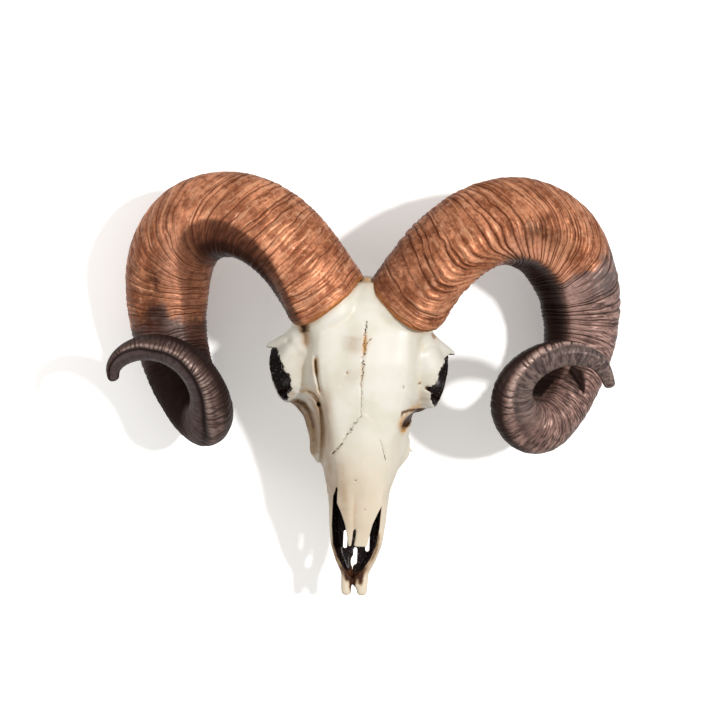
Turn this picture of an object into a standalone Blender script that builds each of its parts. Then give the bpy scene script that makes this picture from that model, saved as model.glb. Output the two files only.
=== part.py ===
"""Hand-painted cast-resin replica of a ram's upper skull, life size, hung on a wall.

Metres, +Z up. The wall is the plane Y = 0 and the face looks along -Y. The origin is
the middle of the flat back, where the replica hangs. The skull's plane of symmetry is
X = 0. The two horns are castings of their own and differ a little, as in life.
Lengths below are in millimetres unless a name says otherwise.
"""

import math

import bmesh
import bpy
import numpy as np
from mathutils import Matrix, Vector

MM = 0.001

# ---- Driving sizes ------------------------------------------------------------------

SEAM_GAP = 0.3          # hairline between touching pieces
CAST_VOXEL = 1.5        # grid on which the masses of the skull are merged
CAST_SMOOTHING = 11     # passes that blend the merged masses
SKULL_TRIANGLES = 2800  # faces kept on the skull before it is trimmed and parted

HORN_RINGS = 66         # rings along one horn
HORN_SEGMENTS = 14      # points round one ring
HORN_WAVES = 36         # growth swellings along one horn
HORN_WAVE_HEIGHT = 0.022  # height of a swelling, as a share of the horn's radius
HORN_CUTS = (0.37, 0.66)  # shares of the length at which a horn is parted

# Centreline of each horn from its base to its tip: x, y, z and mean radius.
LEFT_HORN = (
    (-31, -87, 1, 31.4),
    (-63, -84, 42, 31.3),
    (-95, -76, 61, 31.8),
    (-128, -62, 58, 32.2),
    (-149, -48, 34, 32.8),
    (-153, -38, 4, 31.4),
    (-141, -37, -55, 25.3),
    (-119, -62, -91, 20.0),
    (-114, -81, -87, 17.2),
    (-116, -96, -71, 14.1),
    (-139, -109, -44, 11.2),
    (-170, -107, -41, 8.1),
    (-187, -101, -57, 4.6),
    (-186, -99, -65, 3.3),
)
RIGHT_HORN = (
    (29, -87, 1, 30.8),
    (54, -84, 37, 30.6),
    (88, -75, 62, 31.8),
    (121, -62, 66, 34.0),
    (150, -48, 50, 33.8),
    (170, -35, -8, 28.7),
    (153, -50, -67, 23.0),
    (134, -68, -86, 20.8),
    (114, -85, -77, 17.6),
    (111, -97, -56, 14.2),
    (142, -106, -31, 10.2),
    (174, -102, -38, 6.0),
    (183.5, -98, -55, 3.4),
)
KEEL_ANGLE = 38         # degrees from the front of the horn towards its hollow side
KEEL_HEIGHT = 0.06      # share of the radius
KEEL_WIDTH = 15         # degrees
GROOVE_ANGLE = 6        # degrees, beside the keel
GROOVE_DEPTH = 0.035
GROOVE_WIDTH = 16
TRIANGULARITY = 0.045   # how far the section leans from a circle to a triangle

# The face from the poll down to the muzzle. Each row gives the height z, the front of
# the roof, the roof's half width, the fall at the roof's edge, the depth and half width
# of the widest line, and the depth and half width of the palate's edge.
FACE = (
    (16, -100, 16, 5, -66, 34, -44, 30),
    (0, -110, 26, 4, -74, 44, -40, 36),
    (-22, -115, 36, 4, -78, 51, -38, 38),
    (-45, -115, 37, 5.5, -78, 50, -38, 34),
    (-65, -112.5, 35, 7, -78, 46, -39, 30),
    (-83, -108.5, 28, 6, -70, 40, -41, 27),
    (-98, -104, 22.5, 6, -64, 37, -43, 26),
    (-112, -100.5, 20, 6, -62, 35.5, -44, 25),
    (-124, -97.5, 18.5, 6, -64, 29.5, -45, 22),
    (-140, -93, 18, 6, -66, 23.8, -46, 18),
    (-152, -84, 17.5, 5, -66, 22.6, -47, 15),
    (-168, -76, 16.5, 4, -63, 21.6, -47.5, 14),
    (-182, -70, 15, 3, -60, 20, -48, 13),
    (-194, -65, 12, 2, -58, 16, -48.5, 11),
    (-205, -61, 8, 1.5, -56, 10.5, -49, 8),
    (-214, -60, 6, 1, -56, 8, -51, 6),
)

# Nasal bones: height z, half width and front, from their point on the brow to the tip.
NASALS = (
    (-82, 2, -109.2),
    (-90, 9, -107),
    (-100, 14.5, -104.2),
    (-112, 17, -101),
    (-128, 17.4, -97),
    (-142, 17.2, -93),
    (-150, 17, -91),
    (-156, 14, -89.5),
    (-165, 10.2, -87),
    (-174, 7.8, -84),
    (-183, 4.6, -80.5),
)
NASAL_THICKNESS = 3.4
NASAL_FALL = 5.5        # how far the bones' edges lie behind their middle line
NASAL_WIDEST = 17

# Domes of the braincase: middle and radii.
DOMES = {
    "braincase": ((0, -46, -8), (37, 44, 31)),
    "brow": ((0, -82, -24), (54, 26, 26)),
    "occiput": ((0, -12, -3), (37, 20, 27)),
}
SKULL_BASE = ((0, -16, -34, 13), (0, -28, -54, 12), (0, -36, -68, 10))

# Masses on the right of the skull, which the left repeats: x, y, z and radius.
SIDE_MASSES = {
    "eye_cup": ((34, -58, -50, 26), (60.5, -64.5, -54.5, 22.5)),
    "point_over_eye": ((40, -86, -20, 13), (55, -76, -28, 9), (69, -66, -35, 4)),
    "bar_behind_eye": (
        (68, -62, -37, 3.6),
        (66, -49, -48, 3.8),
        (62, -47, -62, 4.2),
        (56, -54, -72, 5),
    ),
    "cheek_arch": (
        (62, -48, -60, 4.5),
        (59, -34, -46, 4.2),
        (48, -24, -32, 6),
        (34, -22, -22, 9),
    ),
    "rim_below_eye": (
        (56, -64, -75, 6),
        (47, -61, -79, 6.5),
        (39, -60, -88, 6),
        (35, -59, -106, 5.5),
    ),
    "cheek_knob": ((35, -59, -100, 5), (34.5, -59, -112, 5), (28, -60, -121, 4)),
    "neck_knuckle": ((15, -24, -33, 8), (17, -12, -35, 8)),
    "neck_prong": ((30, -24, -24, 7), (33, -14, -38, 4.5)),
    "ear_capsule": ((22, -28, -44, 9), (21, -27, -50, 7)),
    "muzzle_lobe": ((5.3, -56.5, -206, 4.5), (4.8, -55, -219, 4.4)),
}
# Stump of bone under each horn: depth below the horn, how much thinner it is than the
# horn there, and how far it has moved back.
SEAT = ((1.2, 1.5, 0), (10, 2.5, 0.5), (26, 9, 6))
BLUNT_RADIUS = 20       # a thicker mass than this ends almost flat
SPINE_OPENING = ((0, -20, -31, 7.5), (0, 4, -36, 9))
THROAT = ((0, -58, -100, 8), (0, -36, -80, 9.5))

# Opening of the nose behind the nasal bones: height z, half width and floor.
NOSE_OPENING = (
    (-112, 8, -58),
    (-128, 13, -54),
    (-145, 17.6, -53),
    (-168, 17.2, -53),
    (-182, 15.6, -53),
    (-192, 11.8, -53.5),
    (-201, 6.5, -54),
    (-206, 3, -56),
)
NOSE_FRONT = -115
NOSE_ROOF_END_Z = -144  # above this height the hollow is roofed over
NOSE_HEIGHT = 22        # height of the roofed hollow over its floor

ORBIT_CENTRE = (66.5, -65.5, -55.5)
ORBIT_RADII = (19.5, 20, 20.5)
ORBIT_DEPTH_LEAN = 19   # degrees that the opening turns towards the front

BROW_CUT_Z = -86        # where the brow is parted from the cheeks
MUZZLE_CUT_Z = -152     # where the cheeks are parted from the muzzle
MUZZLE_CUT_TILT = -18   # degrees
ORBIT_CUT_FOOT_X = 42.5  # where the cut beside each eye meets the one below the brow
ORBIT_CUT_TILT = 12.5   # degrees
ORBIT_CUT_LENGTH = 114

PALATE_SLITS = ((-8, -179, 7), (9, -181, 7), (0, -191.5, 6.5))  # x, z and half length
SLIT_HALF_WIDTH = 1.5

TOOTH_LENGTHS = (16, 14.5, 12, 8.5, 8, 7)  # last molar to first premolar
TOOTH_ROW_TOP = -80
TOOTH_ROW_X = (23.5, 19)      # at the last molar and at the first premolar
TOOTH_HALF_WIDTHS = (6, 4)
TOOTH_CROWN = -34
TOOTH_ROOT = -48
TOOTH_NECK = 0.72       # width between two teeth, as a share of their own
TOOTH_NECK_DEPTH = 2.5

LEAN_SHIFT = 3          # how far the brow leans to the left
LEAN_Z = -42
LEAN_SPAN = 45
HANGER_Z = 9
HANGER_SIZE = (44, 1.2, 9)    # width, thickness and height of the hanger
HANGER_TEETH = 10
HANGER_END = 8          # plain length at each end of the hanger
POCKET_SIZE = (50, 2.6, 13)   # recess that holds it

BONE = (0.86, 0.80, 0.68)
COPPER = (0.42, 0.17, 0.08)
BROWN = (0.16, 0.09, 0.07)
DARK = (0.045, 0.035, 0.033)
STEEL = (0.55, 0.55, 0.55)


# ---- Helpers ------------------------------------------------------------------------


def clear_scene():
    for obj in list(bpy.data.objects):
        bpy.data.objects.remove(obj, do_unlink=True)


def paint(name, colour, roughness, metallic=0.0):
    """A Principled material."""
    material = bpy.data.materials.new(name)
    material.use_nodes = True
    shader = material.node_tree.nodes["Principled BSDF"]
    shader.inputs["Base Color"].default_value = (*colour, 1)
    shader.inputs["Roughness"].default_value = roughness
    shader.inputs["Metallic"].default_value = metallic
    return material


def object_from(name, bm):
    """Turns a bmesh in millimetres into an object in metres, with its faces outward."""
    bmesh.ops.recalc_face_normals(bm, faces=bm.faces)
    if bm.calc_volume(signed=True) < 0:
        bmesh.ops.reverse_faces(bm, faces=bm.faces)
    bm.transform(Matrix.Scale(MM, 4))
    mesh = bpy.data.meshes.new(name)
    bm.to_mesh(mesh)
    bm.free()
    obj = bpy.data.objects.new(name, mesh)
    bpy.context.scene.collection.objects.link(obj)
    return obj


def loft(name, rings):
    """A closed skin over rings that have the same number of points."""
    bm = bmesh.new()
    rows = [[bm.verts.new(point) for point in ring] for ring in rings]
    count = len(rows[0])
    for row, following in zip(rows, rows[1:]):
        for i in range(count):
            j = (i + 1) % count
            bm.faces.new((row[i], row[j], following[j], following[i]))
    bm.faces.new(rows[0])
    bm.faces.new(rows[-1])
    return object_from(name, bm)


def ellipsoid(name, centre, radii, turn=None):
    bm = bmesh.new()
    bmesh.ops.create_uvsphere(bm, u_segments=28, v_segments=18, radius=1)
    bm.transform(Matrix.Diagonal((*radii, 1)))
    if turn:
        bm.transform(turn.to_4x4())
    bm.transform(Matrix.Translation(centre))
    return object_from(name, bm)


def box(name, centre, size, turn=None):
    bm = bmesh.new()
    bmesh.ops.create_cube(bm, size=1)
    bm.transform(Matrix.Diagonal((*size, 1)))
    if turn:
        bm.transform(turn.to_4x4())
    bm.transform(Matrix.Translation(centre))
    return object_from(name, bm)


def rod(name, stations, sides=16, roundness=0.6):
    """A round bar through stations (x, y, z, radius), its ends rounded by a share of it."""
    path = [Vector(s[:3]) for s in stations]
    radii = [s[3] for s in stations]
    first = (path[1] - path[0]).normalized()
    last = (path[-1] - path[-2]).normalized()
    if roundness:
        start = path[0] - first * radii[0] * roundness
        end = path[-1] + last * radii[-1] * roundness
        path = [start] + path + [end]
        radii = [radii[0] * 0.6] + radii + [radii[-1] * 0.6]
    rings = []
    side = first.orthogonal().normalized()
    for i, (centre, radius) in enumerate(zip(path, radii)):
        ahead = path[min(i + 1, len(path) - 1)] - path[max(i - 1, 0)]
        ahead.normalize()
        side = (side - ahead * side.dot(ahead)).normalized()
        across = ahead.cross(side)
        ring = []
        for k in range(sides):
            turn = 2 * math.pi * k / sides
            ring.append(centre + (side * math.cos(turn) + across * math.sin(turn)) * radius)
        rings.append(ring)
    return loft(name, rings)


def baked(obj):
    """Replaces an object's mesh by the one that its modifiers make."""
    graph = bpy.context.evaluated_depsgraph_get()
    mesh = bpy.data.meshes.new_from_object(obj.evaluated_get(graph))
    obj.modifiers.clear()
    obj.data = mesh
    return obj


def combine(obj, other, operation):
    """Joins or cuts an object with another one, which is used up."""
    modifier = obj.modifiers.new(operation.lower(), "BOOLEAN")
    modifier.operation = operation
    modifier.solver = "EXACT"
    modifier.object = other
    baked(obj)
    bpy.data.objects.remove(other, do_unlink=True)
    return obj


def joined(name, parts):
    """One object that holds all the parts' shells, still overlapping."""
    bm = bmesh.new()
    for part in parts:
        bm.from_mesh(part.data)
        bpy.data.objects.remove(part, do_unlink=True)
    mesh = bpy.data.meshes.new(name)
    bm.to_mesh(mesh)
    bm.free()
    obj = bpy.data.objects.new(name, mesh)
    bpy.context.scene.collection.objects.link(obj)
    return obj


def shells_of(obj):
    """The separate closed shells of an object, as sets of vertex numbers."""
    bm = bmesh.new()
    bm.from_mesh(obj.data)
    bm.verts.ensure_lookup_table()
    seen = set()
    shells = []
    for start in bm.verts:
        if start.index in seen:
            continue
        shell = {start.index}
        pending = [start]
        while pending:
            for edge in pending.pop().link_edges:
                for vert in edge.verts:
                    if vert.index not in shell:
                        shell.add(vert.index)
                        pending.append(vert)
        seen |= shell
        shells.append(shell)
    bm.free()
    return shells


def keep_shell(obj, shell):
    """Deletes all of an object's mesh but the vertices of one shell."""
    bm = bmesh.new()
    bm.from_mesh(obj.data)
    bmesh.ops.delete(bm, geom=[v for v in bm.verts if v.index not in shell], context="VERTS")
    bm.to_mesh(obj.data)
    bm.free()


def mirrored(station):
    return (-station[0], *station[1:])


def smooth_curve(stations, places):
    """Natural cubic spline through the stations, read at shares of its length."""
    points = np.array(stations, float)
    steps = np.linalg.norm(np.diff(points[:, :3], axis=0), axis=1)
    knots = np.concatenate([[0], np.cumsum(steps)])
    count = len(points)
    system = np.eye(count)
    right = np.zeros_like(points)
    for i in range(1, count - 1):
        before, after = steps[i - 1], steps[i]
        system[i, i - 1 : i + 2] = before, 2 * (before + after), after
        right[i] = 6 * ((points[i + 1] - points[i]) / after - (points[i] - points[i - 1]) / before)
    bend = np.linalg.solve(system, right)
    at = np.asarray(places) * knots[-1]
    i = np.clip(np.searchsorted(knots, at, side="right") - 1, 0, count - 2)
    gone = (at - knots[i])[:, None]
    left = (knots[i + 1] - at)[:, None]
    step = steps[i][:, None]
    curved = (bend[i] * left**3 + bend[i + 1] * gone**3) / (6 * step)
    return (
        curved
        + (points[i] / step - bend[i] * step / 6) * left
        + (points[i + 1] / step - bend[i + 1] * step / 6) * gone
    )


# ---- Horns --------------------------------------------------------------------------


def bell(angle, middle, width):
    """A smooth bump, 1 high, on a circle measured in degrees."""
    away = (angle - middle + 180) % 360 - 180
    return math.exp(-((away / width) ** 2))


def section_radius(angle):
    """Radius of the horn's section, as a share of its mean radius."""
    return (
        1
        + TRIANGULARITY * math.cos(math.radians(3 * (angle - KEEL_ANGLE)))
        + KEEL_HEIGHT * bell(angle, KEEL_ANGLE, KEEL_WIDTH)
        - GROOVE_DEPTH * bell(angle, GROOVE_ANGLE, GROOVE_WIDTH)
    )


def horn_rings(stations, shares, hollow_side):
    """Rings across a horn at the given shares of its length.

    The angle round a ring starts at the front, -Y, and grows towards the hollow side of
    the horn's arch. The frame is carried along the curve without twist.
    """
    fine = np.linspace(0, 1, 401)
    curve = smooth_curve(stations, fine)
    tangents = np.gradient(curve[:, :3], axis=0)
    tangents /= np.linalg.norm(tangents, axis=1)[:, None]
    front = np.array((0.0, -1.0, 0.0))
    fronts = []
    for tangent in tangents:
        front = front - tangent * front.dot(tangent)
        front /= np.linalg.norm(front)
        fronts.append(front)
    rings = []
    for share in shares:
        k = int(round(share * 400))
        centre, radius = curve[k, :3], curve[k, 3]
        side = np.cross(tangents[k], fronts[k]) * hollow_side
        swelling = 1 + HORN_WAVE_HEIGHT * math.cos(2 * math.pi * HORN_WAVES * share)
        ring = []
        for i in range(HORN_SEGMENTS):
            angle = 360 * i / HORN_SEGMENTS
            reach = radius * swelling * section_radius(angle)
            turn = math.radians(angle)
            ring.append(centre + (fronts[k] * math.cos(turn) + side * math.sin(turn)) * reach)
        rings.append(ring)
    return rings


def make_horn(side, stations, hollow_side):
    """Three lengths of one horn, parted by hairline cuts."""
    length = sum(math.dist(a[:3], b[:3]) for a, b in zip(stations, stations[1:]))
    ends = (0, *HORN_CUTS, 1)
    names = ("base", "bend", "curl")
    colours = (COPPER, BROWN, DARK)
    for name, colour, start, end in zip(names, colours, ends, ends[1:]):
        low = start + (SEAM_GAP / length if start else 0)
        count = max(4, round(HORN_RINGS * (end - start)))
        rings = horn_rings(stations, np.linspace(low, end, count), hollow_side)
        piece = loft(f"horn_{side}_{name}", rings)
        piece.data.materials.append(paint(f"horn_{side}_{name}", colour, 0.42, 0.25))


def horn_axis(stations):
    """Direction in which a horn leaves the skull."""
    curve = smooth_curve(stations, (0, 0.004))
    return Vector(curve[1, :3] - curve[0, :3]).normalized()


def horn_seat(stations):
    """The round stump of bone that carries a horn."""
    base = Vector(stations[0][:3])
    axis = horn_axis(stations)
    rows = []
    for depth, step, back in reversed(SEAT):
        middle = base - axis * depth + Vector((0, back, 0))
        rows.append((*middle, stations[0][3] - step))
    return rod("seat", rows, 32, 0)


# ---- Skull --------------------------------------------------------------------------


def face_ring(row):
    """Closed outline of the face at one height, smoothed through its named points."""
    z, front, roof, fall, cheek_y, cheek, palate_y, palate = row
    half = [
        (0, front),
        (roof * 0.55, front + fall * 0.3),
        (roof, front + fall),
        (roof + (cheek - roof) * 0.55, front + fall + (cheek_y - front - fall) * 0.42),
        (cheek, cheek_y),
        (palate + (cheek - palate) * 0.55, cheek_y + (palate_y - cheek_y) * 0.62),
        (palate, palate_y - 1),
        (palate * 0.6, palate_y),
        (0, palate_y),
    ]
    other = [(-x, y) for x, y in half[-2:0:-1]]
    corners = half + other
    count = len(corners)
    ring = []
    for i in range(count):
        before, here = corners[i - 1], corners[i]
        after, beyond = corners[(i + 1) % count], corners[(i + 2) % count]
        ring.append((*here, z))
        middle = [(9 * (here[k] + after[k]) - before[k] - beyond[k]) / 16 for k in range(2)]
        ring.append((*middle, z))
    return ring


def face_masses():
    """The shells that are merged into the skull."""
    masses = [loft("face", [face_ring(row) for row in FACE])]
    masses += [ellipsoid(name, *dome) for name, dome in DOMES.items()]
    masses.append(rod("skull_base", SKULL_BASE))
    for name, stations in SIDE_MASSES.items():
        roundness = 0.1 if stations[0][3] > BLUNT_RADIUS else 0.6
        masses.append(rod(name, stations, roundness=roundness))
        masses.append(rod(name, [mirrored(s) for s in stations], roundness=roundness))
    masses += [horn_seat(horn) for horn in (LEFT_HORN, RIGHT_HORN)]
    return masses


def nose_cutter():
    """The hollow of the nose, open to the front."""
    rings = []
    for z, half, floor in NOSE_OPENING:
        front = NOSE_FRONT if z < NOSE_ROOF_END_Z else floor - NOSE_HEIGHT
        side = [(1, front), (1, floor - 4), (0.7, floor)]
        corners = side + [(-across, y) for across, y in reversed(side)]
        rings.append([(half * across, y, z) for across, y in corners])
    return loft("nose_cutter", rings)


def orbit_cutters():
    cutters = []
    for side in (1, -1):
        turn = Matrix.Rotation(math.radians(-ORBIT_DEPTH_LEAN * side), 3, "Z")
        centre = (ORBIT_CENTRE[0] * side, *ORBIT_CENTRE[1:])
        cutters.append(ellipsoid("orbit_cutter", centre, ORBIT_RADII, turn))
    return cutters


def slit_cutter(x, z, half_length):
    """A slit with round ends that runs right through the palate."""
    bm = bmesh.new()
    bmesh.ops.create_cone(
        bm, cap_ends=True, segments=16, radius1=SLIT_HALF_WIDTH, radius2=SLIT_HALF_WIDTH, depth=30
    )
    bm.transform(Matrix.Rotation(math.radians(90), 4, "X"))
    bm.transform(Matrix.Diagonal((1, 1, half_length / SLIT_HALF_WIDTH, 1)))
    bm.transform(Matrix.Translation((x, -52, z)))
    return object_from("slit_cutter", bm)


def between(ends, share):
    return ends[0] + (ends[1] - ends[0]) * share


def tooth_row(side):
    """Six cheek teeth as one body that narrows between each tooth and the next."""
    rings = []
    top = TOOTH_ROW_TOP
    neck = (TOOTH_NECK, TOOTH_NECK_DEPTH)
    for length in TOOTH_LENGTHS:
        for share, (width, lower) in ((0.01, neck), (0.22, (1, 0)), (0.78, (1, 0)), (1, neck)):
            z = top - length * share
            along = (TOOTH_ROW_TOP - z) / sum(TOOTH_LENGTHS)
            x = between(TOOTH_ROW_X, along)
            half = width * between(TOOTH_HALF_WIDTHS, along)
            crown = TOOTH_CROWN - lower
            ring = [
                (x - half, TOOTH_ROOT),
                (x + half, TOOTH_ROOT),
                (x + half, crown - 2),
                (x + half * 0.5, crown),
                (x - half * 0.5, crown - 1),
                (x - half, crown - 3),
            ]
            rings.append([(side * across, y, z) for across, y in ring])
        top -= length
    return loft("tooth_row", rings)


def nasal_bones(name, spare=0.0):
    """The arched plate of the nasal bones, or with spare the room that it needs."""
    rings = []
    rows = list(NASALS)
    if spare:
        rows[0] = (rows[0][0] + 1.2, 0.6, rows[0][2])
    for z, half, front in rows:
        wide = half + spare
        fall = NASAL_FALL * min(1, (half / NASAL_WIDEST) ** 2)
        outer = front - (12 if spare else 0)
        inner = front + NASAL_THICKNESS + spare
        across = (-1, -0.55, 0, 0.55, 1)
        ring = [(wide * a, outer + fall * a * a, z) for a in across]
        ring += [(wide * a, inner + fall * a * a, z) for a in reversed(across)]
        rings.append(ring)
    return loft(name, rings)


def melted(obj, passes):
    """Merges an object's shells into one smooth skin."""
    merge = obj.modifiers.new("merge", "REMESH")
    merge.mode = "VOXEL"
    merge.voxel_size = CAST_VOXEL * MM
    soften = obj.modifiers.new("soften", "SMOOTH")
    soften.factor = 0.5
    soften.iterations = passes
    return baked(obj)


def cast_skull():
    """The whole skull as one body, before its hollows are cut."""
    return melted(joined("skull", face_masses()), CAST_SMOOTHING)


def hollow(skull):
    """Cuts the eye sockets, the nose, the throat and the spine's opening, then thins the mesh."""
    cutters = orbit_cutters() + [nose_cutter()]
    cutters += [rod("spine_opening", SPINE_OPENING), rod("throat", THROAT)]
    for cutter in cutters:
        combine(skull, cutter, "DIFFERENCE")
    melted(skull, 1)
    thin = skull.modifiers.new("thin", "DECIMATE")
    thin.ratio = SKULL_TRIANGLES / (2 * len(skull.data.polygons))
    return baked(skull)


def lean(obj):
    """Shifts the brow a little to the left, as the casting does."""
    for vert in obj.data.vertices:
        away = (vert.co.z / MM - LEAN_Z) / LEAN_SPAN
        vert.co.x -= LEAN_SHIFT * MM * math.exp(-away * away)
    return obj


def trim(skull):
    """Makes the slits of the palate, the flat back and the seats of the horns."""
    width, depth, height = POCKET_SIZE
    cutters = [slit_cutter(*slit) for slit in PALATE_SLITS]
    cutters.append(box("wall", (0, 20, 0), (200, 40, 200)))
    cutters.append(box("pocket", (0, 0, HANGER_Z), (width, 2 * depth, height)))
    cutters += [horn_clearance(horn) for horn in (LEFT_HORN, RIGHT_HORN)]
    for cutter in cutters:
        combine(skull, cutter, "DIFFERENCE")
    return skull


def horn_clearance(stations):
    """Room above a horn's base, with a hairline under its flat end."""
    base = Vector(stations[0][:3])
    axis = horn_axis(stations)
    radius = stations[0][3] * (1 + KEEL_HEIGHT + TRIANGULARITY) + 1
    bm = bmesh.new()
    bmesh.ops.create_cone(bm, cap_ends=True, segments=32, radius1=radius, radius2=radius, depth=80)
    turn = axis.to_track_quat("Z", "Y").to_matrix().to_4x4()
    bm.transform(turn)
    bm.transform(Matrix.Translation(base + axis * (40 - SEAM_GAP)))
    return object_from("horn_clearance", bm)


def part_skull(skull):
    """Parts the skull along its main sutures with thin cuts."""
    combine(skull, lean(nasal_bones("nasal_cutter", SEAM_GAP)), "DIFFERENCE")
    for side in (1, -1):
        combine(skull, tooth_row(side), "UNION")
    muzzle_turn = Matrix.Rotation(math.radians(MUZZLE_CUT_TILT), 3, "X")
    cuts = [
        box("brow_cut", (0, -60, BROW_CUT_Z), (200, 140, SEAM_GAP)),
        box("muzzle_cut", (0, -64, MUZZLE_CUT_Z), (200, 80, SEAM_GAP), muzzle_turn),
        box("middle_cut", (0.04, -60, -187), (SEAM_GAP, 140, 202)),
    ]
    for side in (1, -1):
        turn = Matrix.Rotation(math.radians(ORBIT_CUT_TILT * side), 3, "Y")
        foot = Vector((ORBIT_CUT_FOOT_X * side, -60, BROW_CUT_Z))
        middle = foot + turn @ Vector((0, 0, ORBIT_CUT_LENGTH / 2))
        cuts.append(box("orbit_cut", middle, (SEAM_GAP, 150, ORBIT_CUT_LENGTH), turn))
    for cut in cuts:
        combine(skull, cut, "DIFFERENCE")
    return skull


def make_hanger():
    """The saw-toothed steel strip in the pocket of the back, which hooks on a nail."""
    width, thickness, height = HANGER_SIZE
    pitch = (width - 2 * HANGER_END) / HANGER_TEETH
    end = width / 2
    foot = -height / 2
    outline = [(-end, -foot), (end, -foot), (end, foot), (end - HANGER_END, foot)]
    for i in range(HANGER_TEETH):
        x = end - HANGER_END - pitch * i
        outline.append((x - pitch / 2, foot + 1))
        outline.append((x - pitch, foot))
    outline.append((-end, foot))
    deep = SEAM_GAP - POCKET_SIZE[1]
    layers = [[(x, y, HANGER_Z + z) for x, z in outline] for y in (deep, deep + thickness)]
    loft("hanger", layers).data.materials.append(paint("hanger", STEEL, 0.35, 1.0))


def bone_name(middle):
    """The bone that a shell with this middle belongs to."""
    side = "left" if middle.x < 0 else "right"
    if abs(middle.x) > 45 * MM:
        return f"orbit_{side}"
    if middle.z > -84 * MM:
        return "cranium"
    return f"maxilla_{side}" if middle.z > -150 * MM else f"premaxilla_{side}"


def name_bones(skull):
    """Makes an object of each shell that the cuts have left."""
    for shell in shells_of(skull):
        mesh = skull.data.copy()
        bone = bpy.data.objects.new("bone", mesh)
        keep_shell(bone, shell)
        middle = sum((vert.co for vert in mesh.vertices), Vector()) / len(mesh.vertices)
        bone.name = mesh.name = bone_name(middle)
        mesh.materials.clear()
        mesh.materials.append(paint(bone.name, BONE, 0.4))
        bpy.context.scene.collection.objects.link(bone)
    bpy.data.objects.remove(skull, do_unlink=True)


def main():
    clear_scene()
    make_horn("left", LEFT_HORN, -1)
    make_horn("right", RIGHT_HORN, 1)
    name_bones(part_skull(trim(lean(hollow(cast_skull())))))
    make_hanger()
    lean(nasal_bones("nasal_bones")).data.materials.append(paint("nasal_bones", BONE, 0.4))


main()
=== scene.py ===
"""Looks of a hand-painted cast-resin replica of a ram's skull, hung on a white wall.

The frame is the part's: the wall is Y = 0, the face looks along -Y, +Z is up and +X is
right. Shapes are worked out in millimetres and made as meshes in metres.
"""

import math

import bmesh
import bpy
import numpy as np
import openvdb
from mathutils import Matrix, Vector


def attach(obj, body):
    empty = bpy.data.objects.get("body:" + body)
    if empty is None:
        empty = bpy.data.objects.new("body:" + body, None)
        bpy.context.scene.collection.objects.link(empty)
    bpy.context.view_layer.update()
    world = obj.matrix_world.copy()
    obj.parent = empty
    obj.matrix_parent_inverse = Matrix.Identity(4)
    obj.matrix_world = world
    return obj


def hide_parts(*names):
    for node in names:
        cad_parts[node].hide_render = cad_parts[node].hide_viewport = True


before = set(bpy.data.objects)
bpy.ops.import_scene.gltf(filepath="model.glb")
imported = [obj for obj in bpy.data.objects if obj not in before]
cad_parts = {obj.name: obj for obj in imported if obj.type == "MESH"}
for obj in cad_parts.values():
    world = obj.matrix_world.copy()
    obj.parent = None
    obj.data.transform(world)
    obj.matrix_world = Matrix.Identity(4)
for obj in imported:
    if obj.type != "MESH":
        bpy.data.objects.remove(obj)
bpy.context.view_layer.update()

MM = 0.001

# ---- Horns: sizes -------------------------------------------------------------------

# Centreline of each horn from its base to its tip: x, y, z and mean radius.
LEFT_HORN = (
    (-31, -87, 1, 31.4),
    (-63, -84, 42, 31.3),
    (-95, -76, 61, 31.8),
    (-128, -62, 58, 32.2),
    (-149, -48, 34, 32.8),
    (-153, -38, 4, 31.4),
    (-141, -37, -55, 25.3),
    (-119, -62, -91, 20.0),
    (-114, -81, -87, 17.2),
    (-116, -96, -71, 14.1),
    (-139, -109, -44, 11.2),
    (-170, -107, -41, 8.6),
    (-187, -101, -57, 5.2),
    (-186, -99, -65, 3.9),
)
RIGHT_HORN = (
    (29, -87, 1, 30.8),
    (54, -84, 37, 30.6),
    (88, -75, 62, 31.8),
    (121, -62, 66, 34.0),
    (150, -48, 50, 33.8),
    (170, -35, -8, 28.7),
    (153, -50, -67, 23.0),
    (134, -68, -86, 20.8),
    (114, -85, -77, 17.6),
    (111, -97, -56, 14.2),
    (142, -106, -31, 10.2),
    (174, -102, -38, 6.4),
    (183.5, -98, -55, 4.0),
)
# Where the sheath of each horn ends on the brow (x, z).
LEFT_SEAM = (
    (0, 27), (-5.8, 18.6), (-10.6, 11.8), (-14.4, 6.6), (-22.2, -0.9), (-30.1, -7.3),
    (-36, -12.1), (-41.9, -15.9), (-48.9, -18.7), (-55.9, -19.5), (-64, -19),
)
RIGHT_SEAM = (
    (-3, 24), (1, 15.3), (3.8, 7.3), (8.1, 1.4), (12.4, -3.5), (18.8, -10.3), (26.1, -15.1),
    (32.3, -18.4), (37.5, -19.6), (43.6, -19.6), (49.6, -18.2), (53, -15.1), (60, -8),
)
# The blunt corner of the section: share of the horn's length, and angle from the front.
CORNER = ((0, 0.22, 0.33, 0.45, 1), (40, 38, 32, 20, 18))
TRIANGULARITY = 0.045

PATH_POINTS = 2401
HORN_RINGS = 1020
HORN_SEGMENTS = 94
FIRST_LINE, LAST_LINE = 2.0, 6  # growth lines keep so far from the base and from the tip
LEAN_REACH = 31         # how far a slant of 1 carries a growth line over half of a side
COIL_START = (0.66, 0.72)  # shares of the length over which the coil's rim sets in
SWELL_RADIUS = 30       # of the round bar on which the horns' unevenness is drawn
GRAIN_RADIUS = 3.4      # and their paint's, so that its grain runs across the horn
TIP_ROUNDING = 3.0
RECESS_STEP = 40        # points of the path between those that shade a horn's inside
RECESS_APART = (25, 60)  # how far along the horn a point has to be from what shades it
RECESS_FULL = 25        # length of horn that shuts a place in from as near as its radius
SEAM_FADE = 45          # length over which growth lines stop following the sheath's edge
BEND_START = 24         # and over which their own bends set in
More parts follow.
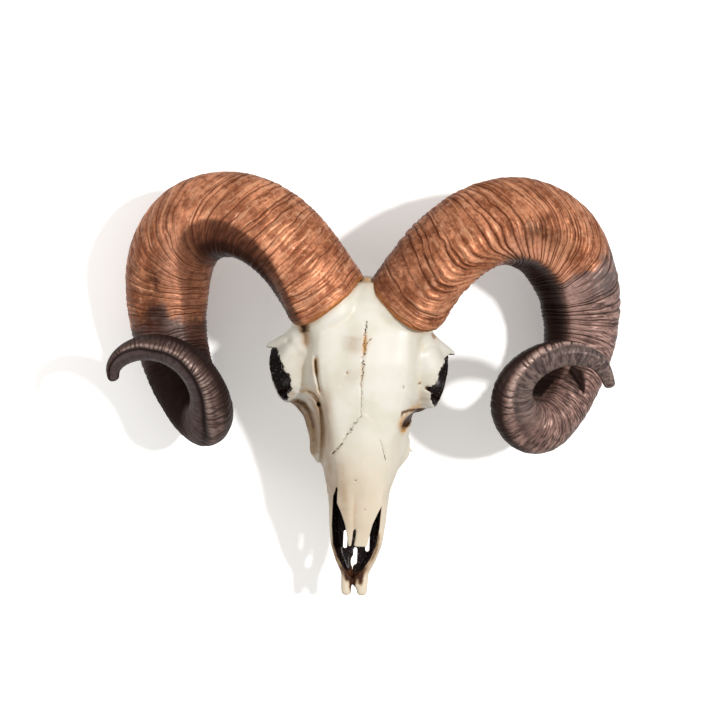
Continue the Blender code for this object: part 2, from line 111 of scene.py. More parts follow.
# The section, in degrees: half widths of the keel before and behind its edge, middle and
# half width of the furrow behind it, and half width of the valley. The furrow's depth is
# a share of the keel's height.
KEEL_WIDTHS, KEEL_POWER = (13, 9), 1.3
KEEL_FURROW, FURROW_SHARE, VALLEY_WIDTH = (30, 17), 0.75, 15
# A growth line: half widths of its groove towards the tip and the base, and how much of
# the depth the groove and the pleat beside it take, if that pleat is long enough.
GROOVE_WIDTHS, GROOVE_POWER = (0.6, 0.4), 1.3
GROOVE_SHARE, PLEAT_SHARE, FULL_PLEAT = 0.65, 0.75, 3.5

# ---- Skull: sizes -------------------------------------------------------------------

# The face at each height: z, the front's y, the roof's half width and how far its edges
# fall back, then y and half width of the cheek and of the palate.
FACE = (
    (16, -100, 16, 5, -66, 34, -44, 30),
    (0, -110, 26, 4, -74, 44, -40, 36),
    (-22, -115, 33, 4, -78, 51, -38, 38),
    (-45, -115, 33, 5.5, -78, 50, -38, 34),
    (-65, -112.5, 31, 7, -78, 46, -39, 30),
    (-83, -108.5, 27, 6, -70, 40, -41, 27),
    (-98, -104, 22.5, 6, -64, 37, -43, 26),
    (-112, -100.5, 20, 6, -62, 35.5, -44, 25),
    (-124, -97.5, 18.5, 6, -64, 29.5, -45, 22),
    (-140, -93, 18, 6, -66, 23.8, -46, 18),
    (-152, -84, 17.5, 5, -66, 22.6, -47, 15),
    (-168, -76, 16.5, 4, -63, 21.6, -47.5, 14),
    (-182, -70, 15, 3, -60, 20, -48, 13),
    (-194, -65, 12, 2, -58, 16, -48.5, 11),
    (-205, -61, 8, 1.5, -56, 10.5, -49, 8),
    (-214, -60, 6, 1, -56, 8, -51, 6),
)
# Nasal bones: height, half width and the front's y.
NASALS = (
    (-82, 2, -109.2),
    (-90, 9, -107),
    (-100, 14.5, -104.2),
    (-112, 17, -101),
    (-128, 17.4, -97),
    (-142, 17.2, -93),
    (-150, 17, -91),
    (-156, 14, -89.5),
    (-165, 10.2, -87),
    (-174, 8.4, -84),
    (-180, 7.4, -81.6),
    (-182, 6.8, -81),
)
NASAL_THICKNESS = 3.4
NASAL_FALL = 5.5
NASAL_WIDEST = 17
# Ellipsoids: centre and radii.
DOMES = {
    "braincase": ((0, -46, -8), (37, 44, 31)),
    "brow": ((0, -82, -24), (54, 26, 26)),
    "occiput": ((0, -12, -3), (37, 20, 27)),
}
# Bars and lumps on both sides: x, y, z and radius, for the right side.
SIDE_MASSES = {
    "eye_cup": ((34, -58, -50, 26), (60.5, -64.5, -54.5, 22.5)),
    "brow_plate": ((42, -83, -34, 15.5), (50.5, -79, -47, 15), (49, -76, -60, 13)),
    "point_over_eye": ((40, -86, -22, 13), (54, -77, -31, 8.5), (69.5, -66, -35, 3.6)),
    "bar_behind_eye": (
        (65.5, -58, -38, 3.8),
        (64.5, -46, -48, 4.6),
        (61.8, -43, -60, 5),
        (56.5, -49, -71, 5.5),
    ),
    "cheek_arch": (
        (62, -48, -60, 4.5),
        (59, -34, -46, 4.2),
        (48, -24, -32, 6),
        (34, -22, -22, 9),
    ),
    "cheek_knob": ((33.5, -59, -100, 5), (33.5, -59, -112, 5), (27.5, -60, -121, 4)),
    "neck_knuckle": ((15, -24, -33, 8), (17, -12, -35, 8)),
    "neck_prong": ((30, -24, -24, 7), (33, -14, -38, 4.5)),
    "ear_capsule": ((22, -28, -44, 9), (21, -27, -50, 7)),
    "muzzle_lobe": ((6.2, -56.5, -206, 4.6), (5.8, -55, -219, 4.5)),
}
# The rim below each eye, which differs on the two sides.
LEFT_RIM = ((-51.5, -64, -70.5, 6), (-45, -61, -74.5, 6), (-37.5, -60, -84, 6), (-33.5, -59, -100, 5.5))
RIGHT_RIM = ((49, -64, -69.5, 6), (43.5, -61, -74.5, 6.4), (37, -60, -80, 6.6), (32, -59.5, -90, 5.5))
MIDDLE_MASSES = {
    "skull_base": ((0, -16, -34, 13), (0, -28, -54, 12), (0, -36, -68, 10)),
    "crest": ((-1, -86, 6, 12), (-1.2, -89, 13, 9.5), (-0.6, -90, 17, 5.5)),
    "left_rim": LEFT_RIM,
    "right_rim": RIGHT_RIM,
}
BLUNT_RADIUS = 20       # bars that are thicker have nearly flat ends
END_RADIUS = 0.6        # of a rounded end, as a share of the bar's
# Stump of bone under each horn: depth below its base, how much thinner, how far back.
SEAT = ((26, 9, 6), (10, 2.5, 0.5), (1.2, 1.5, 0))
SPUR = ((29, -60, -104.5, 2.8), (40.2, -60, -109.8, 0.7))
SPINE_OPENING = ((0, -20, -31, 7.5), (0, 4, -36, 9))
THROAT = ((0, -58, -100, 8), (0, -36, -80, 9.5))
# Opening of the nose: height, half width and y of its floor.
NOSE_OPENING = (
    (-112, 8, -58),
    (-128, 13, -54),
    (-145, 17.6, -53),
    (-168, 17.2, -53),
    (-182, 15.6, -53),
    (-192, 11.8, -53.5),
    (-201, 6.5, -54),
    (-206, 3, -56),
)
NOSE_FRONT = -115
NOSE_ROOF_END_Z = -144
NOSE_HEIGHT = 22
NOSE_SHIFT = -1.5
ORBIT_CENTRE = (66.5, -65.5, -55.5)
ORBIT_RADIUS = 20.5
ORBIT_DEPTHS = (27, 18.5)  # in front of the middle and behind it
ORBIT_LEAN = 19
ORBIT_RIM_Y = -76
# Scalloped front rim of each eye socket: height and distance from the middle plane.
LEFT_ORBIT_RIM = (
    (-76, 60), (-73.5, 58), (-70.5, 57), (-65, 53), (-59, 51.5),
    (-54, 56.8), (-50.4, 60), (-44.3, 59.5), (-40.7, 63.4), (-34.8, 65.1),
)
RIGHT_ORBIT_RIM = (
    (-76, 54.5), (-70.7, 52), (-62.4, 50.6), (-60.2, 51.5), (-57.7, 56.2),
    (-53.1, 58.4), (-47.8, 58.2), (-44.7, 60.4), (-33.8, 69.8),
)
PALATE_SLITS = ((-8, -179, 7), (9, -181, 7), (0, -191.5, 6.5))  # x, z and half length
SLIT_HALF_WIDTH = 1.5
SLIT_Y, SLIT_DEPTH = -52, 15
TOOTH_LENGTHS = (16, 14.5, 12, 8.5, 8, 7)
# Rings of a tooth: share of its length, width, and how much lower than the crown.
TOOTH_RINGS = ((0.01, 0.74, 2.5), (0.15, 0.98, 0.4), (0.5, 0.92, 1.0), (0.85, 0.98, 0.2), (0.99, 0.74, 2.5))
TOOTH_CUSPS = ((1, 2), (0.6, 0), (0, 1.6), (-0.6, 0.5), (-1, 3))  # across, below the crown
TOOTH_ROW_TOP = -80
TOOTH_ROW_X = (23.5, 19)
TOOTH_HALF_WIDTHS = (6, 4)
TOOTH_CROWN, TOOTH_ROOT = -34, -48
LEAN_SHIFT, LEAN_Z, LEAN_SPAN = 3, -42, 45
POCKET_Z, POCKET_SIZE = 9, (50, 2.6, 13)

# What is carved into the front, or laid on it where the depth is below 0: the depth,
# half of the width, and the line's points (x, z).
CARVED = {
    "slit_left": (2.6, 1.2, ((-38.2, -41), (-37.8, -46), (-36.8, -53), (-35, -61), (-33, -68))),
    "slit_left_lip": (-0.8, 2, ((-41, -44), (-40, -53), (-38, -60), (-35.5, -66))),
    "valley_left": (1.6, 3.2, ((-50, -13), (-47, -21), (-44.5, -30), (-43.5, -35))),
    "valley_right": (1.2, 3.5, ((49, -12), (50, -20), (50, -27))),
    "pit_by_horn_left": (1.2, 3, ((-60, -28), (-55, -33), (-49, -41))),
    "cheek_furrow_left": (2.8, 1.8, (
        (-48, -66.5), (-43, -66.5), (-38.5, -68.5), (-35, -72.5), (-32.5, -78),
        (-30.5, -86), (-29.3, -96), (-29, -108), (-29, -123), (-28, -134),
    )),
    "cheek_ridge_left": (-0.8, 1.8, (
        (-51, -70.8), (-44.5, -70.5), (-39.3, -73), (-35.6, -78), (-33.2, -86), (-32, -96), (-31.5, -108),
    )),
    "lower_furrow_left": (2.6, 1.9, (
        (-54.5, -74.5), (-49, -74.5), (-44, -77), (-40, -82), (-37, -89), (-35, -98), (-33.5, -110),
    )),
    "brow_fold_left": (0.9, 1.6, (
        (-50, -62.5), (-44, -62.3), (-38, -63), (-33.5, -67), (-30.5, -74), (-28, -84),
    )),
    "foramen_left": (3, 1.3, ((-34.4, -76.5), (-34.2, -77))),
    "crescent_right": (4.2, 2.4, (
        (29.3, -93), (31.5, -89), (34, -86), (37, -83.6), (40.5, -82), (44, -80.8),
    )),
    "crescent_lip_right": (-1.4, 1.8, (
        (26.6, -90), (28.4, -85.5), (31.8, -81.4), (36, -78.8), (41, -77), (46, -76),
    )),
    "dent_right_1": (1.6, 1.5, ((40.4, -57.3), (41, -57.8))),
    "dent_right_2": (2.6, 1.7, ((45.4, -60.3), (49.5, -62))),
    "pit_1": (0.9, 1.4, ((-15.5, -51.6), (-14, -52))),
    "pit_2": (0.6, 1.2, ((-18.1, -60.8), (-18.1, -61.4))),
    "pit_3": (0.8, 1.4, ((27.7, -59.5), (27.9, -62))),
    "pit_4": (1.5, 0.9, ((-4.5, -131.3), (-4.5, -131.9))),
    "pit_5": (1.2, 0.7, ((4, -153.2), (4, -153.6))),
    "suture": (0.8, 0.8, ((-2.9, -14.7), (-3, -30), (-3.6, -48), (-4.2, -60), (-3, -72), (-2.8, -84))),
    "fronto_nasal": (0.8, 0.8, ((-2.7, -84), (-6.5, -88.5), (-11.5, -94), (-15.6, -104), (-22.4, -112.9))),
    "fronto_nasal_end": (0.9, 0.9, ((-16, -105), (-22.4, -112.9))),
    "fronto_nasal_right": (0.7, 0.7, ((12.3, -100.8), (14.4, -106.4), (16.1, -110.4), (17.3, -115.5))),
    "nasal_groove": (0.7, 1.4, ((-4.2, -142), (-4.4, -160), (-3.4, -178))),
    "nasal_split": (3.4, 0.8, ((-2.6, -169), (-3.2, -176), (-3.9, -183))),
    "nasal_bone_left": (-0.7, 3, ((-11, -135), (-9.5, -152), (-7.5, -168))),
    "nasal_bone_right": (-0.7, 3, ((4, -135), (2.5, -152), (1.5, -168))),
    "maxilla_left_edge": (0.9, 1.5, ((-22, -118), (-21, -130), (-18, -140))),
    "muzzle_groove": (2.2, 1.3, ((-3, -192), (-1.6, -203), (-1.6, -217))),
}

# Brushed on the front: strength, half of the width, and the line's points (x, z).
BRUSHED = {
    "brown": (
        (0.8, 1.3, ((-38.2, -42), (-37.8, -47), (-36.8, -54))),
        (0.4, 1.1, ((-36.8, -53), (-35, -61), (-33, -68))),
        (0.6, 1.2, ((-43.5, -66.3), (-38.5, -68.3), (-35, -72.3), (-32.7, -78), (-30.8, -86))),
        (0.25, 1.3, ((-30.4, -86), (-29.6, -96), (-29.2, -108), (-29, -123), (-28, -134))),
        (1.0, 1.5, ((-34.6, -75), (-34.2, -77.5))),
        (0.75, 1.8, ((-53, -74.5), (-49, -74.8), (-44, -77), (-40, -82), (-37.4, -89), (-35.4, -98))),
        (0.8, 2.6, ((-58, -76), (-49, -80), (-44, -87), (-40.5, -98))),
        (0.7, 1.2, ((-38, -116), (-33, -121), (-29, -126))),
        (1.0, 3.4, ((-51, -12), (-48, -18), (-46.6, -24))),
        (0.5, 2.2, ((49, -19), (51, -24))),
        (2.6, 2.9, ((31, -90), (34, -86.2), (37, -84), (40, -82.6), (44, -81.2), (49, -79.5))),
        (0.9, 1.2, ((27.4, -83), (28.3, -79.6), (33.5, -78), (38, -77.6), (43, -77.6), (50, -78))),
        (0.55, 1.1, ((-15.5, -51.6), (-14, -52))),
        (0.4, 1.0, ((-18.1, -60.8), (-18.1, -61.4))),
        (0.4, 1.2, ((27.7, -59.5), (27.9, -62))),
        (0.6, 1.1, ((-4.5, -131.3), (-4.5, -131.9))),
        (0.6, 0.8, ((4, -153.2), (4, -153.6))),
        (0.8, 1.3, ((40.4, -57.3), (41, -57.8))),
        (1.0, 1.3, ((45.4, -60.3), (49.5, -62))),
        (1.1, 1.0, ((-2.8, -170), (-3.2, -176), (-3.9, -182))),
        (2.0, 2.0, ((-3, -192), (-1.8, -203), (-1.6, -218))),
        (1.0, 1.9, ((4.6, -204), (4.4, -213))),
        (0.7, 1.5, ((-6.5, -205), (-6, -210))),
        (0.9, 3.2, ((-12.5, -196), (-7, -204), (-1.7, -208), (4, -204), (9, -196))),
        (0.7, 1.6, ((-17.5, -170), (-17, -184), (-13.5, -195))),
        (0.7, 1.6, ((16.2, -172), (15, -186), (11, -195))),
    ),
    "ochre": (
        (0.25, 3.2, ((-50, -15), (-47, -21), (-44.6, -30))),
        (0.95, 1.7, ((-2.6, -22), (-3, -34), (-3.4, -40))),
        (0.7, 2.2, ((-38.2, -41), (-37.8, -47), (-36.8, -54))),
        (0.5, 1.4, ((-3.4, -44), (-3.6, -50), (-4.2, -61))),
        (0.35, 1.5, ((1.9, -25.7), (-1.1, -28.3), (-2, -36))),
        (1.5, 3.0, ((31, -95), (30.6, -91.5), (32, -88))),
        (0.8, 2.4, ((27, -91), (28.4, -85), (32, -80.6), (37, -77), (44, -75.6))),
        (0.4, 3.0, ((-46, -64), (-38, -66), (-33, -72))),
        (0.4, 2.5, ((-52, -70.5), (-58, -68))),
        (0.15, 2.6, ((-12, -138), (-10, -155), (-8, -170))),
        (0.2, 1.6, ((-3.5, -148), (-3.6, -168))),
        (0.5, 2.6, ((50, -17), (53, -25))),
        (0.45, 2.2, ((-5.8, 18.6), (-14.4, 6.6), (-30.1, -7.3), (-41.9, -15.9), (-55.9, -19.5))),
        (0.4, 1.8, ((1, 15.3), (8.1, 1.4), (18.8, -10.3), (32.3, -18.9), (43.6, -20), (50, -19))),
        (0.9, 2.6, ((-4, 15), (-1, 19), (3, 16))),
    ),
    # Tan strokes, mostly on slopes turned from the key light: tan wash and painted shade
    "tan_and_shade": (
        (0.8, 3.0, ((-44, -70), (-38, -74), (-34.5, -82), (-32.5, -92), (-31.5, -106))),
        (0.9, 3.4, ((-48.5, -15), (-46.5, -24), (-45, -33))),
        (0.8, 4.5, ((-45, -77), (-40, -84), (-36.5, -95), (-34.5, -110))),
        (0.75, 5.0, ((-31, -62), (-28.5, -80), (-27, -95), (-26.5, -110), (-24, -135), (-21, -155))),
        (1.3, 4.5, ((-39, -88), (-37.5, -100), (-36, -116))),
        (0.5, 3.0, ((-34, -84), (-32, -96), (-31, -110))),
        (0.5, 5.0, ((-17, -116), (-14.5, -134), (-11, -160))),
        (0.25, 14, ((-8, -126), (0, -150), (-2, -176))),
        (0.35, 8.0, ((40, -68), (48, -66), (34, -76))),
        (0.3, 9.0, ((-52, -58), (-44, -52), (-50, -36))),
        (0.5, 4.5, ((-18, -178), (-15.5, -192), (-9, -205))),
        (0.45, 4.0, ((18, -178), (15, -190), (8.5, -205))),
        (0.6, 7.0, ((-11, -24), (-12, -36))),
        (0.3, 7.0, ((-16, -52), (-6, -56))),
    ),
}

CARVED_BEHIND = 7       # how far behind the outermost front the carving still cuts
BRUSHED_BEHIND = (11, 19)  # and over which depths the brushed paint ends

# Black paint beside the eye sockets: a dot under a brow's tip, and a line in a notch.
BLACK_SPOT = (-70.5, -39.8)
BLACK_WEDGE = ((60, -44), (68.4, -36.6))

# Painted cracks: two ends (x, z), how far it strays, the strays' size, half of its width.
CRACKS = (
    ((-2.2, -13), (-3.3, -46), 5.0, 3.4, 0.75),
    ((-3.3, -46), (-4.4, -61), 3.4, 3.2, 0.45),
    ((-3.6, -60), (-3.0, -84), 1.4, 4, 0.28),
    ((2.0, -25.4), (-2.4, -31), 1.6, 3, 0.4),
    ((-2.7, -83.6), (-6.6, -88.4), 3.6, 3, 0.5),
    ((-6.5, -88.4), (-15.4, -103), 3.2, 3.5, 0.36),
    ((-15.2, -104), (-22.6, -113.2), 0.35, 5, 0.7),
    ((12.2, -100.5), (15.6, -109.4), 0.7, 5, 0.22),
    ((15.2, -108.8), (17.4, -115.6), 0.5, 5, 0.4),
)

VOXEL = 0.85            # grid of the skull's skin
SKULL_TRIANGLES = 192000
BAND = 9                # voxels on each side of the skin in which distances are kept
CAST_VOXEL = 1.2        # grid on which the masses are merged
CAST_SMOOTHING = 17
LOW = (-99, -146, -266)  # lowest corner of the grid, in voxels
COUNTS = (198, 150, 304)

# ---- Paint and studio ---------------------------------------------------------------

# Colours from 0 to 255.
HORN = {
    "tarnish": (126, 70, 43),
    "streak": (112, 60, 36),
    "fleck": (98, 54, 36),
    "light_streak": (226, 170, 132),
    "bright": (222, 166, 132),
    "dark_grain": (60, 45, 42),
    "deep": (44, 31, 27),
    "band_streak": (66, 54, 53),
    "groove": (26, 14, 11),
    # Brown stains, painted shade where they lie in the valley beside a keel
    "stain": (64, 32, 18),
    "patina": (104, 94, 92),
    # Flank behind the keel: dark paint, darkened further as painted shade on the left horn
    "flank": (96, 54, 36),
    "flank_streak": (56, 30, 21),
    # Near-black underside by the inner edge: black paint and painted shade
    "underside": (42, 21, 14),
    "golden_edge": (150, 94, 44),
    # Dry-brushed tips of the coil's ridges, lightened as painted highlights
    "rubbed_and_lit_tips": (196, 170, 158),
    "wash": (82, 42, 24),
    "dark_wash": (38, 25, 23),
    # Painted shade where the coil closes in on the horn
    "shut_in_shade": (32, 17, 13),
}
BONE = {
    "ivory": (205, 201, 190),
    "ivory_cloud": (197, 191, 175),
    "muzzle": (204, 187, 162),
    "patch": (194, 196, 180),
    "hollow_tan": (196, 168, 128),
    # Tan wash, darkened as painted shade on slopes turned from the light
    "tan_and_shade": (154, 129, 102),
    "ochre": (176, 128, 66),
    "light_brown": (140, 108, 72),
    "brown": (56, 33, 19),
    "crack": (62, 38, 26),
    "soot": (66, 34, 18),
    "fringe": (84, 50, 28),
    "black": (20, 10, 9),
    # Painted glints in the gloss-black paint
    "fleck": (170, 164, 160),
}
STEEL_COLOUR, WALL_COLOUR = (188, 188, 186), (246, 245, 243)

# Studio, in metres. The key light's spread is in degrees, the lens in millimetres.
WALL_Y, FLOOR_Z = 0.0006, -1
ROOM = {
    "wall": [(-3, WALL_Y, FLOOR_Z), (3, WALL_Y, FLOOR_Z), (3, WALL_Y, 2.5), (-3, WALL_Y, 2.5)],
    "floor": [(-3, -4, FLOOR_Z), (3, -4, FLOOR_Z), (3, WALL_Y, FLOOR_Z), (-3, WALL_Y, FLOOR_Z)],
}
AMBIENT_COLOUR, AMBIENT, WALL_GLOW = (1, 0.985, 0.97, 1), 0.66, 0.22
KEY_STRENGTH, KEY_SPREAD, KEY_TRAVEL = 2.7, 4, (-0.63, 1, -0.14)
FILL_STRENGTH, FILL_SIZE = 2.2, 0.4
FILL_PLACE, FILL_TARGET = (-0.75, -0.42, 0.20), (-0.24, 0, 0.02)
TARGET = (-0.00285, -0.05985, -0.04195)
YAW, ROLL, DISTANCE, LENS = math.radians(3), math.radians(2.33), 1.70, 111.84


# ---- Numbers ------------------------------------------------------------------------


def rgb(*picture_values):
    """Linear colour from the 0 to 255 values of a picture."""
    return tuple(((v / 255 + 0.055) / 1.055) ** 2.4 if v > 10 else v / 3294.6 for v in picture_values)


def smooth_step(low, high, x):
    t = np.clip((x - low) / (high - low), 0, 1)
    return t * t * (3 - 2 * t)


def window(x, rise, fall):
    """1 between two soft edges, each given by where it starts and ends."""
    return smooth_step(*rise, x) * (1 - smooth_step(*fall, x))


def hump(x, middle, width):
    return np.exp(-(((x - middle) / width) ** 2))


def past(angle, middle):
    """How far an angle lies past another, from -180 to 180 degrees."""
    return (angle - middle + 180) % 360 - 180


def bell(angle, middle, width):
    """A hump over an angle in degrees."""
    return hump(past(angle, middle), 0, width)


def noise(points, size, seed=0):
    """Smooth value noise from -1 to 1, with features of about that size."""
    p = np.asarray(points, np.float64) / size + 1000
    cell = np.floor(p).astype(np.int64)
    f = p - cell
    f = f * f * (3 - 2 * f)
    total = 0
    for corner in range(8):
        step = np.array((corner & 1, corner >> 1 & 1, corner >> 2 & 1))
        i, j, k = np.moveaxis(cell + step, -1, 0)
        h = (i * 73856093 ^ j * 19349663 ^ k * 83492791 ^ (seed + 1) * 2654435761) & 0xFFFFFFFF
        h = ((h ^ (h >> 13)) * 1274126177) & 0xFFFFFFFF
        value = ((h ^ (h >> 16)) & 0xFFFF) / 32767.5 - 1
        weight = np.prod(np.where(step, f, 1 - f), axis=-1)
        total = total + value * weight
    return total


def way_along(points):
    """Lengths of the steps between points, and the way to each point."""
    steps = np.linalg.norm(np.diff(points, axis=0), axis=1)
    return steps, np.concatenate([[0], np.cumsum(steps)])


def smooth_curve(stations, places):
    """Natural cubic spline through the stations, read at shares of its length."""
    points = np.array(stations, float)
    steps, knots = way_along(points[:, :3])
    count = len(points)
    system = np.eye(count)
    right = np.zeros_like(points)
    for i in range(1, count - 1):
        before, after = steps[i - 1], steps[i]
        system[i, i - 1 : i + 2] = before, 2 * (before + after), after
        right[i] = 6 * ((points[i + 1] - points[i]) / after - (points[i] - points[i - 1]) / before)
    bend = np.linalg.solve(system, right)
    at = np.asarray(places) * knots[-1]
    i = np.clip(np.searchsorted(knots, at, side="right") - 1, 0, count - 2)
    gone = (at - knots[i])[:, None]
    left = (knots[i + 1] - at)[:, None]
    step = steps[i][:, None]
    curved = (bend[i] * left**3 + bend[i + 1] * gone**3) / (6 * step)
    return (
        curved
        + (points[i] / step - bend[i] * step / 6) * left
        + (points[i + 1] / step - bend[i + 1] * step / 6) * gone
    )


# ---- Meshes -------------------------------------------------------------------------


def placed(name, data):
    """A new object of the scene that holds a mesh, a lamp or a camera."""
    obj = bpy.data.objects.new(name, data)
    bpy.context.scene.collection.objects.link(obj)
    return obj


def mesh_object(name, points, faces):
    """A smooth-shaded object in metres from points in millimetres."""
    mesh = bpy.data.meshes.new(name)
    mesh.from_pydata((np.asarray(points) * MM).tolist(), [], [tuple(map(int, f)) for f in faces])
    mesh.shade_smooth()
    mesh.update()
    return placed(name, mesh)


def set_values(obj, **named):
    """Keeps numbers for each point of the mesh, for its material to read by name."""
    for name, values in named.items():
        layer = obj.data.attributes.new(name, "FLOAT", "POINT")
        layer.data.foreach_set("value", np.asarray(values, np.float32).ravel())


def rows_of(items, field, width, kind):
    """A field of all items of a mesh, as the rows of an array."""
    values = np.empty(len(items) * width, kind)
    items.foreach_get(field, values)
    return values.reshape(-1, width)


def points_of(obj):
    return rows_of(obj.data.vertices, "co", 3, np.float32) / MM


def normals_of(obj):
    return rows_of(obj.data.vertices, "normal", 3, np.float32)


def add_modifier(obj, kind, **settings):
    modifier = obj.modifiers.new(kind.lower(), kind)
    for name, value in settings.items():
        setattr(modifier, name, value)


def baked(obj):
    """Replaces an object's mesh by the one that its modifiers make."""
    graph = bpy.context.evaluated_depsgraph_get()
    mesh = bpy.data.meshes.new_from_object(obj.evaluated_get(graph))
    obj.modifiers.clear()
    obj.data = mesh
    return obj


def turn_outward(bm):
    if bm.calc_volume(signed=True) < 0:
        bmesh.ops.reverse_faces(bm, faces=bm.faces)


# ---- Horns --------------------------------------------------------------------------


def section_radius(angle, share, looks):
    """Radius of the horn's section, as a share of its mean radius."""
    corner = np.interp(share, *CORNER)
    beyond = past(angle, np.interp(share, *looks["keel"]))
    before, behind = (np.abs(beyond) / width for width in KEEL_WIDTHS)
    ridge = np.where(beyond < 0, np.exp(-(before**KEEL_POWER)), np.exp(-behind))
    furrow = bell(beyond, *KEEL_FURROW) * smooth_step(0.01, 0.07, share)
    valley = bell(angle, np.interp(share, *looks["valley"]), VALLEY_WIDTH)
    return (
        1
        + TRIANGULARITY * np.cos(np.radians(3 * (angle - corner)))
        + np.interp(share, *looks["keel_height"]) * (ridge - FURROW_SHARE * furrow)
        - np.interp(share, *looks["valley_depth"]) * valley
    )


class Path:
    """A horn's centreline, with a front and a hollow side that follow it without a twist."""

    def __init__(self, stations, hollow_side):
        self.curve = smooth_curve(stations, np.linspace(0, 1, PATH_POINTS))
        self.base_radius = stations[0][3]
        self.arc = way_along(self.curve[:, :3])[1]
        self.length = self.arc[-1]
        tangents = np.gradient(self.curve[:, :3], axis=0)
        tangents /= np.linalg.norm(tangents, axis=1)[:, None]
        front = np.array((0.0, -1.0, 0.0))
        fronts = []
        for tangent in tangents:
            front = front - tangent * front.dot(tangent)
            front /= np.linalg.norm(front)
            fronts.append(front)
        self.axis = tangents[0]
        self.fronts = np.array(fronts)
        self.sides = np.cross(tangents, self.fronts) * hollow_side

    def read(self, table, way):
        """Rows of a table that runs along the path, read at a way from its start."""
        way = np.clip(way, 0, self.length)
        return np.stack([np.interp(way, self.arc, column) for column in table.T], -1)

    def radius(self, way):
        return self.read(self.curve[:, 3:], way)[..., 0]

    def directions(self, way, turn):
        """Unit vectors square to the path, turned from its front to its hollow side."""
        front, side = self.read(self.fronts, way), self.read(self.sides, way)
        return front * np.cos(turn)[..., None] + side * np.sin(turn)[..., None]


def growth_lines(path, angle, looks):
    """Where each groove crosses each direction round the horn, and how strong it is."""
    rng = np.random.default_rng(looks["seed"])
    places = [FIRST_LINE]
    while places[-1] < path.length - LAST_LINE:
        step = np.interp(places[-1] / path.length, *looks["spacing"])
        places.append(places[-1] + step * rng.uniform(0.45, 1.7))
    places = np.array(places)[:, None]
    own = rng.uniform(0.3, 1.3, places.shape)
    turn = np.radians(angle)[None, :]
    reach = path.radius(places)
    around = np.stack(np.broadcast_arrays(np.cos(turn) * reach, np.sin(turn) * reach, places), -1)
    lines = places + 2.0 * noise(around, 19, looks["seed"]) + 1.1 * noise(around, 7, looks["seed"] + 1)
    lines = np.maximum.accumulate(lines, axis=0) + 0.001 * np.arange(len(lines))[:, None]
    apart = around * (1, 1, 7)
    strength = own + 0.4 * noise(apart, 16, looks["seed"] + 2) + 0.2 * noise(apart, 6, looks["seed"] + 3)
    return lines, np.clip(strength, 0.04, 1.25)


def horn_relief(rows, lines, strength, depth):
    """Height of the pleats between the growth lines, and the dirt that lies in them."""
    height = np.empty((len(rows), lines.shape[1]))
    dirt = np.empty_like(height)
    for k in range(lines.shape[1]):
        after = np.clip(np.searchsorted(lines[:, k], rows), 1, len(lines) - 1)
        low, high = lines[after - 1, k], lines[after, k]
        low_strength, high_strength = strength[after - 1, k], strength[after, k]
        to_low, to_high = np.abs(rows - low), np.abs(high - rows)
        share = np.clip(to_low / np.maximum(high - low, 0.3), 0, 1)
        pleat = 2.6 * np.sqrt(share) * (1 - share)  # 1 at its highest
        groove = np.maximum(
            low_strength * np.exp(-((to_low / GROOVE_WIDTHS[0]) ** GROOVE_POWER)),
            high_strength * np.exp(-((to_high / GROOVE_WIDTHS[1]) ** GROOVE_POWER)),
        )
        both = (low_strength + high_strength) / 2
        pleat = PLEAT_SHARE * pleat * both * np.minimum(1, (high - low) / FULL_PLEAT)
        height[:, k] = depth[:, k] * (pleat - GROOVE_SHARE * groove)
        dirt[:, k] = np.clip(groove, 0, 1)
    return height, dirt


def seam_steps(path, angle, looks):
    """How far along the axis the sheath's edge is, so that its front lies on the seam."""
    turn = np.radians(angle)[:, None]
    directions = path.fronts[0] * np.cos(turn) + path.sides[0] * np.sin(turn)
    reach = path.base_radius * section_radius(angle, 0, looks)
    along = path.axis[[0, 2]]
    size = np.linalg.norm(along)
    along = along / size
    across = np.array((-along[1], along[0]))
    line = np.array(looks["seam"]) - path.curve[0, [0, 2]]
    order = np.argsort(line @ across)
    spots = (directions * reach[:, None])[:, (0, 2)]
    wanted = np.interp(spots @ across, (line @ across)[order], (line @ along)[order])
    step = (wanted - spots @ along) / size
    front = smooth_step(0.0, 0.45, -directions[:, 1])
    return step * front - 1.0 * (1 - front)


def grown_along(path, u, theta, looks):
    """The way along the horn at which each place grew, as the growth lines lean and bend."""
    share = u / path.length
    thin = path.radius(u) / path.base_radius
    beyond = past(theta, np.interp(share, *looks["keel"]))
    bend = np.interp(share, *looks["rise"]) * window(beyond, (-15, 60), (100, 170))
    lean = np.sin(np.radians(np.clip(past(theta, 0), -90, 90)))
    bend = bend + np.interp(share, *looks["slant"]) * LEAN_REACH * lean
    cut_off = seam_steps(path, theta[0], looks) * np.exp(-((u / SEAM_FADE) ** 1.5))
    settled = 1 - np.exp(-((u / BEND_START) ** 1.5))
    return np.minimum(u + cut_off + bend * thin * settled, path.length)


def tube(name, rings, flipped):
    """An object over rings of points, closed at both ends."""
    length, count = rings.shape[:2]
    base = np.arange(length - 1)[:, None] * count
    k = np.arange(count)[None, :]
    after = (k + 1) % count
    faces = np.stack([base + k, base + after, base + count + after, base + count + k], -1).reshape(-1, 4)
    obj = mesh_object(name, rings.reshape(-1, 3), faces[:, ::-1] if flipped else faces)
    bm = bmesh.new()
    bm.from_mesh(obj.data)
    bm.verts.ensure_lookup_table()
    for start in (0, (length - 1) * count):
        bm.faces.new([bm.verts[start + i] for i in range(count)])
    bmesh.ops.recalc_face_normals(bm, faces=bm.faces)
    bm.to_mesh(obj.data)
    bm.free()
    return obj


